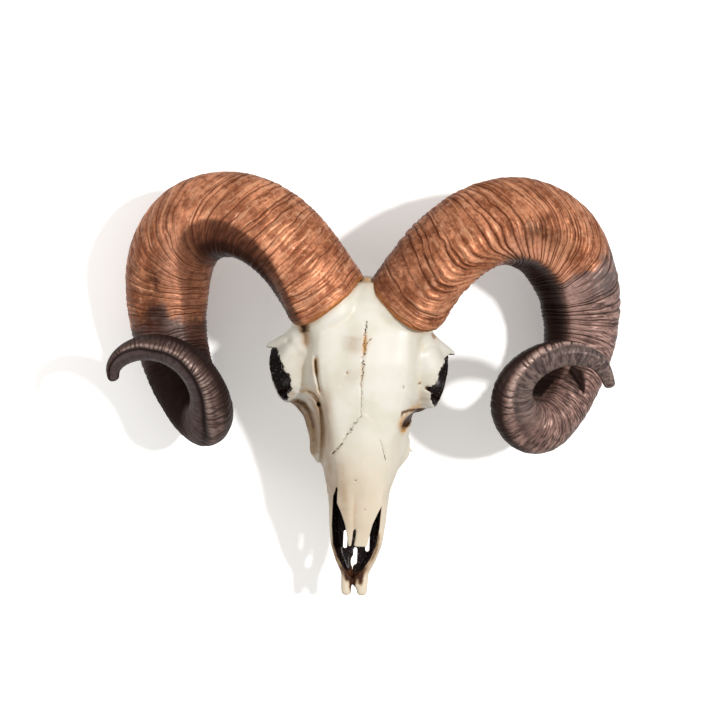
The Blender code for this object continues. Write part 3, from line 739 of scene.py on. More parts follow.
def make_horn(side, stations, hollow_side, looks):
    """One horn: a pleated sheath that laps over its stump of bone."""
    path = Path(stations, hollow_side)
    rows = np.linspace(0, path.length, HORN_RINGS)
    angle = np.arange(HORN_SEGMENTS) * 360 / HORN_SEGMENTS
    u, theta = np.meshgrid(rows, angle, indexing="ij")
    turn = np.radians(theta)
    along = grown_along(path, u, theta, looks)
    share = np.clip(along / path.length, 0, 1)
    thin = path.radius(along) / path.base_radius

    def table(name):
        return np.interp(share, *looks[name])

    away, beyond, past_rim = past(theta, 0), past(theta, table("keel")), past(theta, table("rim"))
    coil = smooth_step(*COIL_START, share)
    # The flank behind the keel, which takes dark paint and painted shade
    flank = window(beyond, (0, 4), (100, 150)) * (1 - smooth_step(0.55, 0.66, share))
    band = window(past_rim, (2, 9), (130, 175)) * smooth_step(0.70, 0.78, share)
    deep = coil * smooth_step(*looks["deep"], past_rim) * (1 - smooth_step(0.92, 0.97, share))
    tips = coil * bell(past_rim, -5, 8)
    inside = looks["inside"](share, away)

    depth = table("depth")
    depth = depth * (1 + looks["front_depth"] * bell(theta, 22, 42) * (1 - smooth_step(0.28, 0.4, share)))
    depth = depth * (0.55 + 0.45 * smooth_step(0, 9, u)) * (1 - 0.85 * band) * (1 + 1.2 * tips)
    depth = depth * (1 - looks["smooth_inside"] * inside)
    height, dirt = horn_relief(rows, *growth_lines(path, angle, looks), depth)

    around = np.stack([np.cos(turn) * SWELL_RADIUS, np.sin(turn) * SWELL_RADIUS, u], -1)
    swell = 0.45 * noise(around, 24, looks["seed"] + 5) + 0.25 * noise(around, 9, looks["seed"] + 6)
    reach = path.radius(along) * section_radius(theta, share, looks)
    reach += (height + swell * thin) * np.minimum(1, thin * 1.6)
    # The coil's rim, the groove and the swelling behind it, and the lip at the base.
    reach += thin**0.5 * (0.5 * tips - looks["groove"] * coil * bell(past_rim, 13, 7))
    reach += 0.7 * thin**0.5 * coil * bell(past_rim, 46, 12)
    reach += 1.2 * np.exp(-u / 9) - 2.4 * np.exp(-u / 1.2)
    to_tip = np.minimum(path.length - u, TIP_ROUNDING) / TIP_ROUNDING
    reach *= np.sqrt(np.clip(1 - (1 - to_tip) ** 2, 0.0004, 1))
    centre = path.read(path.curve[:, :3], along) + path.axis * np.minimum(along, 0)[..., None]
    points = centre + path.directions(along, turn) * reach[..., None]

    obj = tube(f"horn_{side}", points, hollow_side < 0)
    # Painted shade where the rest of the coil closes in, reckoned like ambient occlusion
    shut_in_shade = recess(obj, points, path, along) * smooth_step(0.48, 0.56, share).ravel()
    spray = looks["dark_start"] - looks["dark_valley"] * bell(theta, 36, 20)
    set_values(
        obj,
        dirt=dirt * (1 - 0.8 * band),
        along=u,
        front=np.cos(turn),
        hollow=np.sin(turn),
        flank=flank * table("flank"),
        # Near-black paint and painted shade on the underside by the inner edge
        underside=window(beyond, looks["underside"], (110, 160)) * table("under"),
        band=band,
        groove=coil * bell(past_rim, 13, 10) * min(1, looks["groove"]),
        deep=deep,
        rubbed=(1 - band) * (1 - flank) * (1 - deep) * table("rub"),
        # Painted highlight along the keel, over its pinkish paint
        crest=bell(beyond, -7, 14) * table("crest"),
        # Ridge tips of the coil: dry-brushed paint and painted highlights
        tips=tips * table("tips"),
        # Brown stains, with painted shade in the valleys beside the keel
        stain=looks["stain"](share, away),
        dark=smooth_step(spray, spray + looks["dark_span"], share),
        patina=looks["patina"] * bell(theta, 5, 45) * hump(share, 0.40, 0.035),
        recess=np.maximum(shut_in_shade, inside.ravel()),
    )
    return obj


def recess(obj, points, path, along):
    """How far the rest of the coiled horn closes in each point."""
    normals = normals_of(obj)
    spots = points.reshape(-1, 3)
    closed = np.zeros(len(spots))
    for i in range(0, PATH_POINTS, RECESS_STEP):
        way = path.curve[i, :3] - spots
        away = np.linalg.norm(way, axis=1)
        facing = np.clip((way * normals).sum(1) / away, 0, 1)
        other = smooth_step(*RECESS_APART, np.abs(path.arc[i] - along.ravel()))
        closed += other * facing * (path.curve[i, 3] / away) ** 2
    return closed * path.arc[RECESS_STEP] / RECESS_FULL


# ---- Skull --------------------------------------------------------------------------


def bmesh_object(name, bm):
    """Turns a bmesh in millimetres into an object in metres, with its faces outward."""
    bmesh.ops.recalc_face_normals(bm, faces=bm.faces)
    turn_outward(bm)
    bm.transform(Matrix.Scale(MM, 4))
    mesh = bpy.data.meshes.new(name)
    bm.to_mesh(mesh)
    bm.free()
    return placed(name, mesh)


def loft(name, rings):
    """A closed skin over rings that have the same number of points."""
    bm = bmesh.new()
    rows = [[bm.verts.new(point) for point in ring] for ring in rings]
    count = len(rows[0])
    for row, following in zip(rows, rows[1:]):
        for i in range(count):
            j = (i + 1) % count
            bm.faces.new((row[i], row[j], following[j], following[i]))
    bm.faces.new(rows[0])
    bm.faces.new(rows[-1])
    bmesh.ops.triangulate(bm, faces=bm.faces)
    return bmesh_object(name, bm)


def ellipsoid(name, centre, radii):
    bm = bmesh.new()
    bmesh.ops.create_uvsphere(bm, u_segments=48, v_segments=32, radius=1)
    bm.transform(Matrix.Diagonal((*radii, 1)))
    bm.transform(Matrix.Translation(centre))
    return bmesh_object(name, bm)


def rod(name, stations, sides=24, roundness=0.6):
    """A round bar through stations (x, y, z, radius), its ends rounded by a share of it."""
    path = [Vector(s[:3]) for s in stations]
    radii = [s[3] for s in stations]
    first = (path[1] - path[0]).normalized()
    last = (path[-1] - path[-2]).normalized()
    if roundness:
        start = path[0] - first * radii[0] * roundness
        end = path[-1] + last * radii[-1] * roundness
        path = [start] + path + [end]
        radii = [radii[0] * END_RADIUS] + radii + [radii[-1] * END_RADIUS]
    rings = []
    side = first.orthogonal().normalized()
    turns = [2 * math.pi * k / sides for k in range(sides)]
    for i, (centre, radius) in enumerate(zip(path, radii)):
        ahead = path[min(i + 1, len(path) - 1)] - path[max(i - 1, 0)]
        ahead.normalize()
        side = (side - ahead * side.dot(ahead)).normalized()
        across = ahead.cross(side)
        rings.append([centre + (side * math.cos(t) + across * math.sin(t)) * radius for t in turns])
    return loft(name, rings)


def horn_axis(stations):
    curve = smooth_curve(stations, (0, 0.004))
    return Vector(curve[1, :3] - curve[0, :3]).normalized()


def horn_seat(stations):
    """The round stump of bone that carries a horn."""
    base, radius = Vector(stations[0][:3]), stations[0][3]
    axis = horn_axis(stations)
    rows = [(*(base - axis * depth + Vector((0, back, 0))), radius - step) for depth, step, back in SEAT]
    return rod("seat", rows, 48, 0)


def face_ring(row):
    """Closed outline of the face at one height, smoothed through its named points."""
    z, front, roof, fall, cheek_y, cheek, palate_y, palate = row
    half = [
        (0, front),
        (roof * 0.55, front + fall * 0.3),
        (roof, front + fall),
        (roof + (cheek - roof) * 0.55, front + fall + (cheek_y - front - fall) * 0.42),
        (cheek, cheek_y),
        (palate + (cheek - palate) * 0.55, cheek_y + (palate_y - cheek_y) * 0.62),
        (palate, palate_y - 1),
        (palate * 0.6, palate_y),
        (0, palate_y),
    ]
    corners = half + [(-x, y) for x, y in half[-2:0:-1]]
    count = len(corners)
    ring = []
    for i, here in enumerate(corners):
        before, after, beyond = corners[i - 1], corners[(i + 1) % count], corners[(i + 2) % count]
        middle = [(9 * (here[k] + after[k]) - before[k] - beyond[k]) / 16 for k in range(2)]
        ring += [(*here, z), (*middle, z)]
    return ring


def joined(parts):
    """Points and triangles of several objects, which are used up."""
    points, faces, first = [], [], 0
    for part in parts:
        part.data.calc_loop_triangles()
        points.append(points_of(part))
        faces.append(rows_of(part.data.loop_triangles, "vertices", 3, np.int32) + first)
        first += len(points[-1])
        bpy.data.objects.remove(part, do_unlink=True)
    return np.concatenate(points), np.concatenate(faces)


def lean_at(z):
    """How far the brow leans to the left at a height."""
    return LEAN_SHIFT * hump(z, LEAN_Z, LEAN_SPAN)


def distances(part, leaning=True):
    """Signed distance on the skull's grid to an object's closed skin, in millimetres."""
    points, faces = joined([part])
    if leaning:
        points[:, 0] -= lean_at(points[:, 2])
    scale = openvdb.createLinearTransform(voxelSize=VOXEL)
    grid = openvdb.FloatGrid.createLevelSetFromPolygons(
        points.astype(np.float32), triangles=faces.astype(np.uint32), transform=scale, halfWidth=BAND
    )
    field = np.empty(COUNTS, np.float32)
    grid.copyToArray(field, ijk=LOW)
    return field


def face_masses():
    masses = [loft("face", [face_ring(row) for row in FACE])]
    masses += [ellipsoid(name, *dome) for name, dome in DOMES.items()]
    masses += [rod(name, stations) for name, stations in MIDDLE_MASSES.items()]
    for name, stations in SIDE_MASSES.items():
        roundness = 0.1 if stations[0][3] > BLUNT_RADIUS else 0.6
        for side in (1, -1):
            masses.append(rod(name, [(side * s[0], *s[1:]) for s in stations], roundness=roundness))
    return masses + [horn_seat(horn) for horn in (LEFT_HORN, RIGHT_HORN)]


def merged_masses():
    """The masses as one soft body, before anything is cut."""
    body = mesh_object("masses", *joined(face_masses()))
    add_modifier(body, "REMESH", mode="VOXEL", voxel_size=CAST_VOXEL * MM)
    add_modifier(body, "SMOOTH", factor=0.5, iterations=CAST_SMOOTHING)
    return baked(body)


def union(a, b, soft):
    """Distance to two shapes as one, with a softened join."""
    h = np.clip(0.5 + 0.5 * (b - a) / soft, 0, 1)
    return b + (a - b) * h - soft * h * (1 - h)


def cut(a, b, soft):
    return -union(-a, b, soft)


def line_distance(x, z, points):
    """Distance to a line through points, and the share of the line that lies before."""
    best = np.full(np.broadcast(x, z).shape, 1e6)
    share = np.zeros_like(best)
    points = np.array(points, float)
    steps = np.hypot(*np.diff(points, axis=0).T)
    gone = np.concatenate([[0], np.cumsum(steps)])
    for (ax, az), (bx, bz), step, before in zip(points, points[1:], steps, gone):
        t = np.clip(((x - ax) * (bx - ax) + (z - az) * (bz - az)) / step**2, 0, 1)
        away = np.hypot(x - ax - t * (bx - ax), z - az - t * (bz - az))
        share = np.where(away < best, (before + t * step) / gone[-1], share)
        best = np.minimum(away, best)
    return best, share


def strokes(x, z, lines):
    """Sum of soft lines, each of its own depth or strength."""
    total = 0
    for strength, half, points in lines:
        away, share = line_distance(x, z, points)
        ends = np.minimum(1, 0.35 + 5 * np.minimum(share, 1 - share))
        total = total + strength * ends * hump(away, 0, half)
    return total


def grid_axes():
    """X, Y and Z of the grid's planes, each along its own axis of an array."""
    return np.ix_(*[((low + np.arange(n)) * VOXEL).astype(np.float32) for low, n in zip(LOW, COUNTS)])


def rod_distance(x, y, z, stations):
    """Distance to a straight bar between two stations, whose radius may change."""
    (ax, ay, az, ar), (bx, by, bz, br) = stations
    dx, dy, dz = bx - ax, by - ay, bz - az
    share = ((x - ax) * dx + (y - ay) * dy + (z - az) * dz) / (dx * dx + dy * dy + dz * dz)
    share = np.clip(share, 0, 1)
    away = np.sqrt((x - ax - share * dx) ** 2 + (y - ay - share * dy) ** 2 + (z - az - share * dz) ** 2)
    return away - (ar + (br - ar) * share)


def orbit_distance(x, y, z, side):
    """Distance to the hollow of an eye socket, whose front rim is scalloped."""
    turn = math.radians(-ORBIT_LEAN * side)
    px, py, pz = x - ORBIT_CENTRE[0] * side, y - ORBIT_CENTRE[1], z - ORBIT_CENTRE[2]
    across = px * math.cos(turn) + py * math.sin(turn)
    deep = -px * math.sin(turn) + py * math.cos(turn)
    depth = np.where(deep < 0, *ORBIT_DEPTHS)
    share = np.sqrt((across / ORBIT_RADIUS) ** 2 + (deep / depth) ** 2 + (pz / ORBIT_RADIUS) ** 2)
    hollow = (share - 1) * ORBIT_RADIUS
    rim = np.interp(z, *np.transpose(LEFT_ORBIT_RIM if side < 0 else RIGHT_ORBIT_RIM)).astype(np.float32)
    wall = (rim - 1.3 * np.maximum(0, y - ORBIT_RIM_Y) - x * side) * 0.7
    return np.maximum(hollow, wall)


def nose_rings():
    rings = []
    for z, half, floor in NOSE_OPENING:
        front = NOSE_FRONT if z < NOSE_ROOF_END_Z else floor - NOSE_HEIGHT
        side = [(1, front), (1, floor - 4), (0.7, floor)]
        corners = side + [(-across, y) for across, y in reversed(side)]
        rings.append([(half * across + NOSE_SHIFT, y, z) for across, y in corners])
    return rings


def nasal_rings():
    rings = []
    for z, half, front in NASALS:
        fall = NASAL_FALL * min(1, (half / NASAL_WIDEST) ** 2)
        across = np.linspace(-1, 1, 9)
        ring = [(half * a, front + fall * a * a, z) for a in across]
        ring += [(half * a, front + NASAL_THICKNESS + fall * a * a, z) for a in across[::-1]]
        rings.append(ring)
    return rings


def tooth_rings(side):
    """A row of cheek teeth, each waisted and lower where it meets the next."""
    rings = []
    top = TOOTH_ROW_TOP
    for length in TOOTH_LENGTHS:
        for share, width, lower in TOOTH_RINGS:
            z = top - length * share
            along = (TOOTH_ROW_TOP - z) / sum(TOOTH_LENGTHS)
            x = TOOTH_ROW_X[0] + (TOOTH_ROW_X[1] - TOOTH_ROW_X[0]) * along
            half = width * (TOOTH_HALF_WIDTHS[0] + (TOOTH_HALF_WIDTHS[1] - TOOTH_HALF_WIDTHS[0]) * along)
            outline = [(-1, TOOTH_ROOT), (1, TOOTH_ROOT)]
            outline += [(across, TOOTH_CROWN - lower - below) for across, below in TOOTH_CUSPS]
            rings.append([(side * (x + half * across), y, z) for across, y in outline])
        top -= length
    return rings


def front_of(field):
    """Y of the outermost front at each place of the grid."""
    y = grid_axes()[1].ravel()
    inside = field < 0
    return np.where(inside.any(axis=1), y[np.argmax(inside, axis=1)], 0)


def sampled(values, points):
    """Values of the grid, or of its front, read between its points."""
    axes = [0, 1, 2] if values.ndim == 3 else [0, 2]
    at = np.clip(points[:, axes] / VOXEL - np.array(LOW)[axes], 0, np.array(values.shape) - 1.001)
    cell = at.astype(int)
    part = at - cell
    total = 0
    for corner in range(2**values.ndim):
        step = np.array([corner >> axis & 1 for axis in range(values.ndim)])
        weight = np.prod(np.where(step, part, 1 - part), axis=1)
        total = total + weight * values[tuple((cell + step).T)]
    return total


def skull_field():
    """Signed distance to the skull's skin, and to the nose's hollow and the nasal bones."""
    x, y, z = grid_axes()
    upright = x + lean_at(z)
    nose = distances(loft("nose", nose_rings()))
    nasal = distances(loft("nasal", nasal_rings()))
    field = cut(distances(merged_masses()), nose, 1.5)
    for side in (1, -1):
        field = cut(field, orbit_distance(upright, y, z, side), 1.2)
    field = union(field, rod_distance(x, y, z, SPUR), 1.2)
    for opening in (SPINE_OPENING, THROAT):
        field = cut(field, rod_distance(upright, y, z, opening), 1.5)
    field = union(field, nasal, 0.8)
    for side in (1, -1):
        field = union(field, distances(loft("teeth", tooth_rings(side)), leaning=False), 1.2)
    for slit_x, slit_z, half in PALATE_SLITS:
        flat = np.maximum(np.abs(z - slit_z) - (half - SLIT_HALF_WIDTH), 0)
        slit = np.sqrt((x - slit_x) ** 2 + flat**2) - SLIT_HALF_WIDTH
        field = cut(field, np.maximum(slit, np.abs(y - SLIT_Y) - SLIT_DEPTH), 0.6)
    for stations in (LEFT_HORN, RIGHT_HORN):
        base, axis = stations[0], horn_axis(stations)
        px, py, pz = x - base[0], y - base[1], z - base[2]
        above = px * axis.x + py * axis.y + pz * axis.z
        away = np.sqrt(np.maximum(px**2 + py**2 + pz**2 - above**2, 0))
        field = cut(field, np.maximum(away - base[3] - 0.2, -above - 0.3), 0.6)
    shown = 1 - smooth_step(CARVED_BEHIND, 2 * CARVED_BEHIND, y - front_of(field)[:, None, :])
    carved = strokes(x[:, 0], z[:, 0], CARVED.values())
    field = field + (carved[:, None, :] * shown).astype(np.float32)
    width, deep, height = POCKET_SIZE
    pocket = np.maximum(np.abs(x) - width / 2, np.maximum(-y - deep, np.abs(z - POCKET_Z) - height / 2))
    return cut(np.maximum(field, y), pocket, 0.3), nose, nasal


def hollows(obj, rounds):
    """How far each point lies below its surroundings, in millimetres."""
    count = len(obj.data.vertices)
    a, b = rows_of(obj.data.edges, "vertices", 2, np.int32).T
    linked = np.maximum(np.bincount(a, minlength=count) + np.bincount(b, minlength=count), 1)
    points = points_of(obj).astype(float)
    smooth = points
    for _ in range(rounds):
        near = [np.bincount(a, smooth[b, k], count) + np.bincount(b, smooth[a, k], count) for k in range(3)]
        smooth = 0.5 * smooth + 0.5 * np.stack(near, -1) / linked[:, None]
    return ((smooth - points) * normals_of(obj)).sum(1)


def paint_skull(skull, field, nose, nasal):
    """Where the replica's black, brown, ochre and tan paint lies; the tan is partly painted shade."""
    points = points_of(skull)
    x, y, z = points.T
    shown = 1 - smooth_step(*BRUSHED_BEHIND, y - sampled(front_of(field), points))
    for name, lines in BRUSHED.items():
        set_values(skull, **{name: np.clip(strokes(x, z, lines), 0, 1.4) * shown})
    sockets = [orbit_distance(x + lean_at(z), y, z, side) for side in (1, -1)]
    ragged = 0.9 * noise(points, 2.6, 4) + 0.5 * noise(points, 1.3, 6)
    under_tip = np.hypot(x - BLACK_SPOT[0], z - BLACK_SPOT[1]) - 1.0
    wedge = line_distance(x, z, BLACK_WEDGE)[0]
    in_nose = 1 - smooth_step(0.1, 1.3, sampled(nose, points))
    in_nose = in_nose * smooth_step(1.1, 2.2, sampled(nasal, points))
    fade = smooth_step(-209, -200, z + 3.5 * noise(points, 3, 5))
    black = [
        1 - smooth_step(0.2, 1.5, np.minimum(*sockets) + ragged),
        1 - smooth_step(0, 3.5, under_tip),
        1 - smooth_step(0.5, 1.4, wedge),
        in_nose * fade,
    ]
    set_values(skull, hollow=hollows(skull, 24), black=np.max(black, axis=0), soot=in_nose * (1 - fade))


def skin_of(field):
    """The skull's mesh, where the field is 0."""
    grid = openvdb.FloatGrid(float(BAND * VOXEL))
    grid.copyFromArray(np.ascontiguousarray(field), ijk=LOW)
    points, quads = grid.convertToQuads(0.0)
    obj = mesh_object("skull", np.asarray(points, float) * VOXEL, quads)
    bm = bmesh.new()
    bm.from_mesh(obj.data)
    turn_outward(bm)
    bm.to_mesh(obj.data)
    bm.free()
    add_modifier(obj, "SMOOTH", factor=0.5, iterations=1)
    add_modifier(obj, "DECIMATE", ratio=min(1, SKULL_TRIANGLES / (2 * len(quads))))
    return baked(obj)


# ---- Materials ----------------------------------------------------------------------


class Signal:
    """What a socket of a paint's nodes gives, which can be reckoned with like a number."""

    def __init__(self, paint, socket):
        self.paint, self.socket = paint, socket

    def __add__(self, other):
        return self.paint.maths("ADD", self, other)

    def __sub__(self, other):
        return self.paint.maths("SUBTRACT", self, other)

    def __rsub__(self, other):
        return self.paint.maths("SUBTRACT", other, self)

    def __mul__(self, other):
        return self.paint.maths("MULTIPLY", self, other)

    def clamped(self):
        self.socket.node.use_clamp = True
        return self


class Paint:
    """A material whose nodes are added one by one. Its colours are 0 to 255."""

    def __init__(self, name):
        self.material = bpy.data.materials.new(name)
        self.material.use_nodes = True
        self.tree = self.material.node_tree
        self.shader = self.tree.nodes["Principled BSDF"]
        self.place = self.node("TexCoord", "Object")

    def connect(self, value, socket):
        if isinstance(value, Signal):
            self.tree.links.new(value.socket, socket)
        elif isinstance(value, tuple):
            socket.default_value = (*rgb(*value), 1)
        else:
            socket.default_value = value

    def node(self, kind, output, *values, **settings):
        """Adds a node, fills its first inputs and gives one of its outputs."""
        node = self.tree.nodes.new("ShaderNode" + kind)
        for name, value in settings.items():
            setattr(node, name, value)
        for value, socket in zip(values, node.inputs):
            self.connect(value, socket)
        return Signal(self, node.outputs[output])

    def values(self, *names):
        """Numbers that the mesh keeps for each of its points."""
        return [self.node("Attribute", "Fac", attribute_name=name) for name in names]

    def maths(self, operation, a, b=0.0):
        return self.node("Math", 0, a, b, operation=operation)

    def vector(self, x, y, z):
        return self.node("CombineXYZ", 0, x, y, z)

    def span(self, value, low, high, to_low=0.0, to_high=1.0):
        """Maps low..high smoothly to to_low..to_high."""
        return self.node("MapRange", 0, value, low, high, to_low, to_high, interpolation_type="SMOOTHSTEP")

    def mix(self, share, a, b):
        node = self.node("Mix", 0, data_type="RGBA").socket.node
        sockets = {s.identifier: s for s in (*node.inputs, *node.outputs)}
        for value, name in ((share, "Factor_Float"), (a, "A_Color"), (b, "B_Color")):
            self.connect(value, sockets[name])
        return Signal(self, sockets["Result_Color"])

    def coats(self, colour, *coats):
        """A colour under coats of paint, each given by how much it covers and its colour."""
        for share, coat in coats:
            colour = self.mix(share, colour, coat)
        return colour

    def noise(self, size, detail=2.0, roughness=0.5, vector=None, distortion=0.0):
        """Noise with features of about that size in millimetres, or in the vector's units."""
        noise = self.node("TexNoise", "Fac")
        inputs = noise.socket.node.inputs
        self.connect(self.place if vector is None else vector, inputs["Vector"])
        inputs["Scale"].default_value = (1 / MM if vector is None else 1) / size
        inputs["Detail"].default_value = detail
        inputs["Roughness"].default_value = roughness
        inputs["Distortion"].default_value = distortion
        return noise

    def bump(self, height, distance, strength=1.0, after=None):
        bump = self.node("Bump", 0)
        inputs = bump.socket.node.inputs
        inputs["Strength"].default_value = strength
        inputs["Distance"].default_value = distance * MM
        self.connect(height, inputs["Height"])
        if after is not None:
            self.connect(after, inputs["Normal"])
        return bump

    def finish(self, colour, roughness, **others):
        """Sets the shader's inputs, the others by their names with _ for a space."""
        named = {"Base_Color": colour, "Roughness": roughness, **others}
        for name, value in named.items():
            self.connect(value, self.shader.inputs[name.replace("_", " ")])
        return self.material


def horn_paint(name, looks):
    """Copper that a sprayed cloud turns dark, with brown wash in the growth lines."""
    p = Paint(name)
    dirt, along, front, hollow, flank, dark = p.values("dirt", "along", "front", "hollow", "flank", "dark")
    rubbed, deep, band, groove = p.values("rubbed", "deep", "band", "groove")
    stain, patina, underside = p.values("stain", "patina", "underside")
    crest, tips, recessed = p.values("crest", "tips", "recess")
    around = p.vector(along, front * GRAIN_RADIUS, hollow * GRAIN_RADIUS)
    grain, streak = p.noise(1.2, 4, 0.65, around, 0.4), p.noise(3.0, 3, 0.6, around, 0.6)
    cloud, mottle, fleck = p.noise(24, 3, 0.55), p.noise(8, 4, 0.6), p.noise(2.6, 4, 0.7)

    copper = p.coats(
        looks["light"],
        (p.span(cloud, 0.40, 0.64), looks["mid"]),
        (p.span(mottle, 0.42, 0.66, 0, 0.8), HORN["tarnish"]),
        (p.span(streak, 0.48, 0.68, 0, 0.5), HORN["streak"]),
        (p.span(fleck, 0.47, 0.66, 0, 0.55), HORN["fleck"]),
        (p.span(streak, 0.48, 0.34, 0, 0.45), HORN["light_streak"]),
        (p.span(p.noise(6, 3, 0.6), 0.54, 0.70, 0, 0.45), HORN["bright"]),
    )
    clean = (1.0 - dirt * 3.0).clamped()
    rub = p.span(p.noise(10, 3, 0.6), 0.36, 0.58) * clean * p.span(grain, 0.64, 0.42)
    sprayed = p.coats(
        looks["dark"],
        (p.span(grain, 0.38, 0.66), HORN["dark_grain"]),
        (deep, HORN["deep"]),
        (rub * rubbed, looks["rubbed"]),
        (band * 0.95, p.mix(p.span(streak, 0.35, 0.65), looks["band"], HORN["band_streak"])),
        (groove, HORN["groove"]),
    )
    ragged = (p.noise(14, 4, 0.65) - 0.5) * 7.0
    spray = p.span(dark + ragged * (dark * (1.0 - dark)), 0.2, 0.8)
    # Where painted highlights may show: off the grooves
    top = (1.0 - dirt * 1.3).clamped() * p.span(fleck, 0.65, 0.4, 0.5, 1.0)
    # Painted shade in the coil's hollows
    shut_in_shade = p.span(recessed, *looks["recess"], 0, 0.95)
    colour = p.coats(
        p.mix(spray, copper, sprayed),
        # Brown stains, with painted shade in the valleys beside the keel
        (stain * p.span(p.noise(5, 4, 0.65), 0.3, 0.6, 0.4, 1.0), HORN["stain"]),
        (patina * p.span(p.noise(9, 3, 0.6), 0.35, 0.6), HORN["patina"]),
        # Dark paint and painted shade on the flank behind the keel
        (flank * 0.95, p.mix(p.span(streak, 0.4, 0.62), HORN["flank"], HORN["flank_streak"])),
        # Near-black paint and painted shade on the underside by the inner edge
        (underside * flank, HORN["underside"]),
        (p.span(along, 5.0, 0.5) * p.span(mottle, 0.3, 0.6, 0.3, 0.9), HORN["golden_edge"]),
        # Painted highlight along the keel, over its pinkish paint
        (crest * top * 0.9, p.mix(spray, looks["ridge"], looks["rubbed"])),
        # Painted highlights over dry-brushed paint on the coil's ridge tips
        (tips * top * 0.85, HORN["rubbed_and_lit_tips"]),
        (p.span(dirt, 0.15, 0.9) * (0.84 - spray * 0.2), p.mix(spray, HORN["wash"], HORN["dark_wash"])),
        (shut_in_shade, HORN["shut_in_shade"]),
    )
    roughness = p.span(mottle, 0.3, 0.7, 0.34, 0.5) + shut_in_shade * 0.35
    normal = p.bump(fleck, 0.15, 0.6, p.bump(grain, 0.25, 0.9))
    return p.finish(colour, roughness, Normal=normal, Metallic=0.35, Specular_IOR_Level=0.1)


def crack(p, x, z, start, end, wiggle, size, width):
    """1 on a thin wandering line between two points (x, z) of the front, 0 elsewhere."""
    (ax, az), (bx, bz) = start, end
    length = math.hypot(bx - ax, bz - az)
    ux, uz = (bx - ax) / length, (bz - az) / length
    px, pz = x - ax, z - az
    along = px * ux + pz * uz
    across = px * uz - pz * ux
    stray = (p.noise(size, 3, 0.65) - 0.5) * (2 * wiggle)
    line = p.span(p.maths("ABSOLUTE", across + stray), width, width * 0.35)
    return line * (p.span(along, -0.6, 0.6) * p.span(along, length + 0.6, length - 0.6))


def bone_paint():
    """Ivory with tan washes and painted shade, ochre and brown washes, thin cracks, and gloss-black hollows
    with painted glints.
    """
    p = Paint("bone_paint")
    split = p.node("SeparateXYZ", 0, p.place).socket.node
    x, y, z = (Signal(p, axis) * (1 / MM) for axis in split.outputs)
    hollow, tan_and_shade, ochre, brown, black, soot = p.values("hollow", "tan_and_shade", "ochre", "brown", "black", "soot")
    cloud, mottle = p.noise(26, 3, 0.5), p.noise(7, 4, 0.6)
    brown = brown + (p.noise(2.2, 3, 0.6) - 0.5) * 0.5 * p.span(brown, 0.05, 0.3)
    fissure = 0.0
    for line in CRACKS:
        fissure = p.maths("MAXIMUM", fissure, crack(p, x, z, *line))
    fissure = fissure * p.span(y, -76, -84)
    # Painted glints scattered in the black
    glint_flecks = p.span(p.noise(1.1, 2, 0.6), 0.64, 0.72)
    colour = p.coats(
        BONE["ivory"],
        (p.span(cloud, 0.40, 0.66), BONE["ivory_cloud"]),
        (p.span(z, -70, -175, 0, 0.75), BONE["muzzle"]),
        (p.span(p.noise(13, 2, 0.5), 0.55, 0.72, 0, 0.3), BONE["patch"]),
        # A tan coat that deepens where a point lies below its surroundings
        (p.span(hollow + mottle * 0.5, 0.3, 1.0, 0, 0.75), BONE["hollow_tan"]),
        # Tan wash and painted shade on the slopes turned from the light
        (tan_and_shade * p.span(mottle, 0.2, 0.6, 0.7, 1.0), BONE["tan_and_shade"]),
        ((ochre * p.span(mottle, 0.3, 0.62, 0.35, 1.0)).clamped(), BONE["ochre"]),
        (p.span(brown, 0.08, 0.55, 0, 0.85), BONE["light_brown"]),
        (p.span(brown, 0.4, 1.0), BONE["brown"]),
        (fissure * p.span(p.noise(3.2, 2, 0.5), 0.40, 0.54, 0.25, 1.0), BONE["crack"]),
        (soot * p.span(p.noise(2.5, 3, 0.6), 0.3, 0.6, 0.3, 1.0), BONE["soot"]),
        (p.span(black, 0.05, 0.5, 0, 0.8), BONE["fringe"]),
        (p.span(black, 0.35, 0.75), p.mix(glint_flecks * 0.55, BONE["black"], BONE["fleck"])),
    )
    roughness = p.span(black, 0.35, 0.75) * -0.16 + p.span(mottle, 0.3, 0.7, 0.36, 0.5)
    relief = p.noise(1.3, 3, 0.6) - fissure * 2.5
    dim = p.maths("MAXIMUM", black, p.span(brown, 0.5, 1.1))
    normal, specular = p.bump(relief, 0.12, 0.6), p.span(dim, 0.3, 0.8, 0.45, 0.12)
    return p.finish(colour, roughness, Normal=normal, Specular_IOR_Level=specular)


def steel():
    p = Paint("hanger_steel")
    brushed = p.noise(0.4, 2, 0.6, p.vector(p.place, 0.0, 0.0))
    return p.finish(STEEL_COLOUR, p.span(brushed, 0.3, 0.7, 0.25, 0.45), Metallic=1.0)


def wall_paint():
    """Wall paint that is not there when it is looked at from behind."""
    p = Paint("wall_paint")
    p.finish(WALL_COLOUR, 0.9, Emission_Color=WALL_COLOUR, Emission_Strength=WALL_GLOW)
    backfacing, clear = p.node("NewGeometry", "Backfacing"), p.node("BsdfTransparent", 0)
    wall = p.node("MixShader", 0, backfacing, Signal(p, p.shader.outputs[0]), clear)
    p.connect(wall, p.tree.nodes["Material Output"].inputs["Surface"])
    return p.material


# ---- Room, light and camera ---------------------------------------------------------


def make_room():
    paint = wall_paint()
    for name, corners in ROOM.items():
        mesh = bpy.data.meshes.new(name)
        mesh.from_pydata(corners, [], [(0, 1, 2, 3)])
        mesh.materials.append(paint)
        obj = placed(name, mesh)
        obj.visible_diffuse = obj.visible_glossy = obj.visible_shadow = False


def aim(lamp, direction):
    lamp.rotation_euler = Vector(direction).to_track_quat("-Z", "Y").to_euler()


